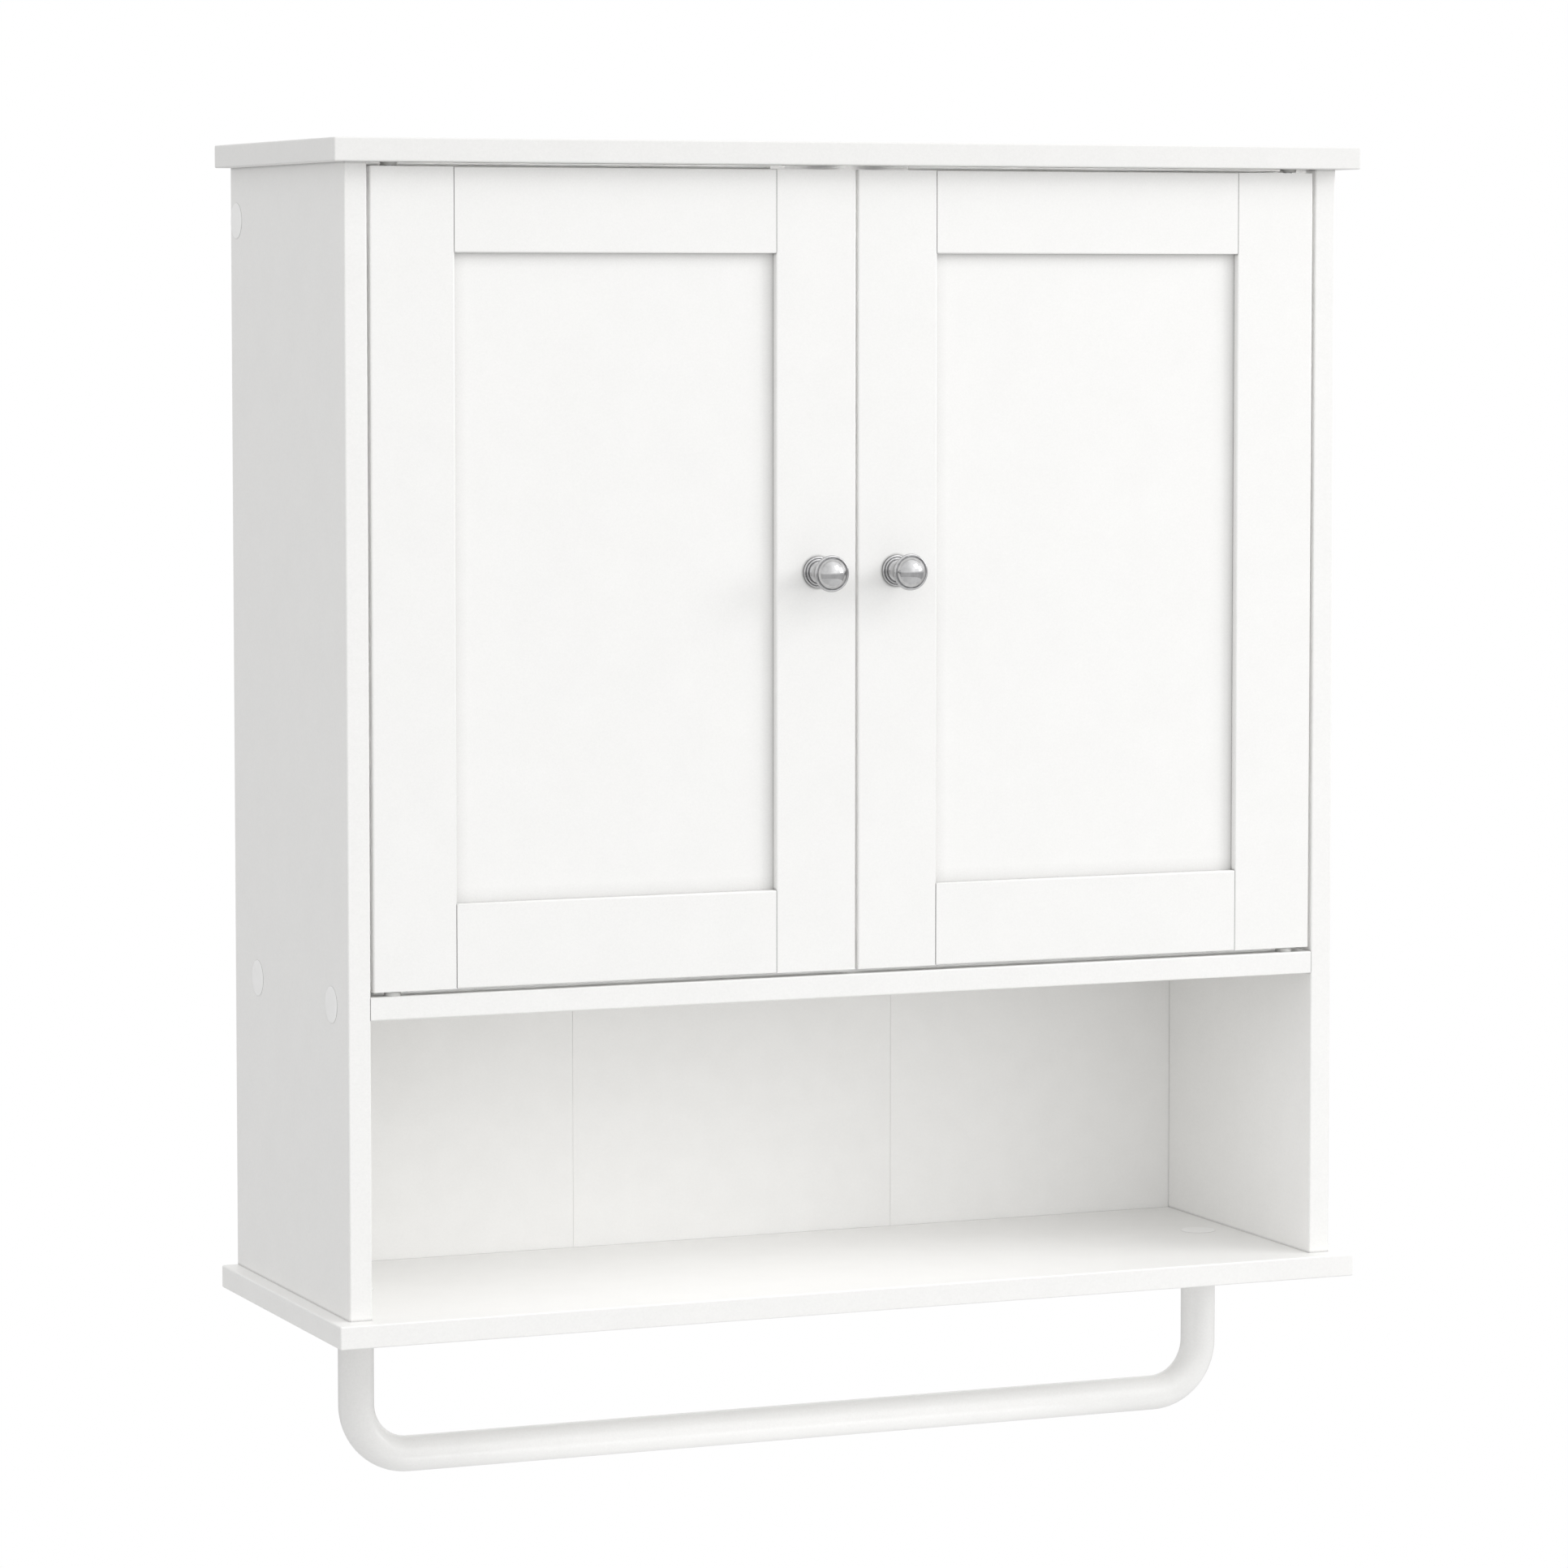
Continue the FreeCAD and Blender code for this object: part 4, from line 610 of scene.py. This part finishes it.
def make_towel_bar():
    """A round tube bent into a U, with its wall, from the box of its CAD node."""
    low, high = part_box("towel_bar")
    radius = (high.y - low.y) / 2
    wall, bend = 1.5 * MM, 3 * radius
    near, far = low.x + radius, high.x - radius
    axis_y, bottom, top = (low.y + high.y) / 2, low.z + radius, high.z
    # Each point is x, z and how far the tube has turned.
    path = [(near, top, 0.0), (near, top + (bottom + bend - top) * 0.5, 0.0)]
    arc_steps = 24
    for centre_x, start in ((near + bend, 0.0), (far - bend, 90.0)):
        for step in range(arc_steps + 1):
            turned = math.radians(start + 90.0 * step / arc_steps)
            path.append((centre_x - bend * math.cos(turned), bottom + bend - bend * math.sin(turned), turned))
        if start == 0.0:
            path += [(near + bend + (far - near - 2 * bend) * share, bottom, math.pi / 2)
                     for share in (0.25, 0.5, 0.75)]
    path += [(far, top + (bottom + bend - top) * share, math.pi) for share in (0.5, 0.0)]
    segments = 64
    shape = bmesh.new()
    skins = []
    for skin_radius in (radius - FACE_INSET * MM, radius - wall):
        rings = []
        for x, z, turned in path:
            sideways = Vector((-math.cos(turned), 0, -math.sin(turned)))
            ring = []
            for step in range(segments):
                angle = 2 * math.pi * step / segments
                out = sideways * math.cos(angle) + Vector((0, 1, 0)) * math.sin(angle)
                ring.append(shape.verts.new(Vector((x, axis_y, z)) + out * skin_radius))
            rings.append(ring)
        for first, second in zip(rings, rings[1:]):
            for step in range(segments):
                following = (step + 1) % segments
                shape.faces.new([first[step], first[following], second[following], second[step]])
        skins.append(rings)
    for end in (0, -1):
        outer, inner = skins[0][end], skins[1][end]
        for step in range(segments):
            following = (step + 1) % segments
            shape.faces.new([outer[step], outer[following], inner[following], inner[step]])
    bar = new_piece("bent_towel_bar", shape, MATERIALS["white_powder_coat"], sharp_angle=40)
    swap(bar, "towel_bar", "carcass")


# ---------------------------------------------------------------- CAD nodes
EASING = 0.4 * MM      # width of the bevel on the square edges
FLOOR_RADIUS = 2.4
FLOOR_DROP = 0.9       # the cabinet hangs this far above the floor


def finish_cad_nodes():
    """Give each CAD node its slot's material, and soften the edges that were left square."""
    slots = {part["node"]: part["material_slot"] for part in frame["record"]["subparts"]}
    for name, thing in frame["nodes"].items():
        thing.data.materials.clear()
        thing.data.materials.append(TONED.get(name, MATERIALS[slots[name]]))
    square = ["middle_shelf"]
    for side in ("left", "right"):
        square += [f"{side}_side_panel"]
        square += [f"{side}_{part}" for part in ("outer_stile", "inner_stile", "top_rail", "bottom_rail")]
    for name in square:
        thing = frame["nodes"][name]
        weld = thing.modifiers.new("weld", "WELD")
        weld.merge_threshold = SAME_POINT
        bevel = thing.modifiers.new("eased_edges", "BEVEL")
        bevel.width = EASING
        bevel.segments = 2
        bevel.limit_method = "ANGLE"
        bevel.angle_limit = math.radians(60)
        bevel.harden_normals = True


def make_floor():
    shape = bmesh.new()
    bmesh.ops.create_circle(shape, cap_ends=True, segments=128, radius=FLOOR_RADIUS)
    floor = new_piece("floor", shape, floor_surface(), sharp_angle=30)
    floor.location = (0, 0, cad_box[0].z - FLOOR_DROP)


make_camera()
make_world()
make_lights()
scene = bpy.context.scene
scene.view_settings.view_transform = "Standard"
scene.view_settings.look = "None"
make_floor()
finish_cad_nodes()
make_knobs()
make_cover_discs()
make_towel_bar()
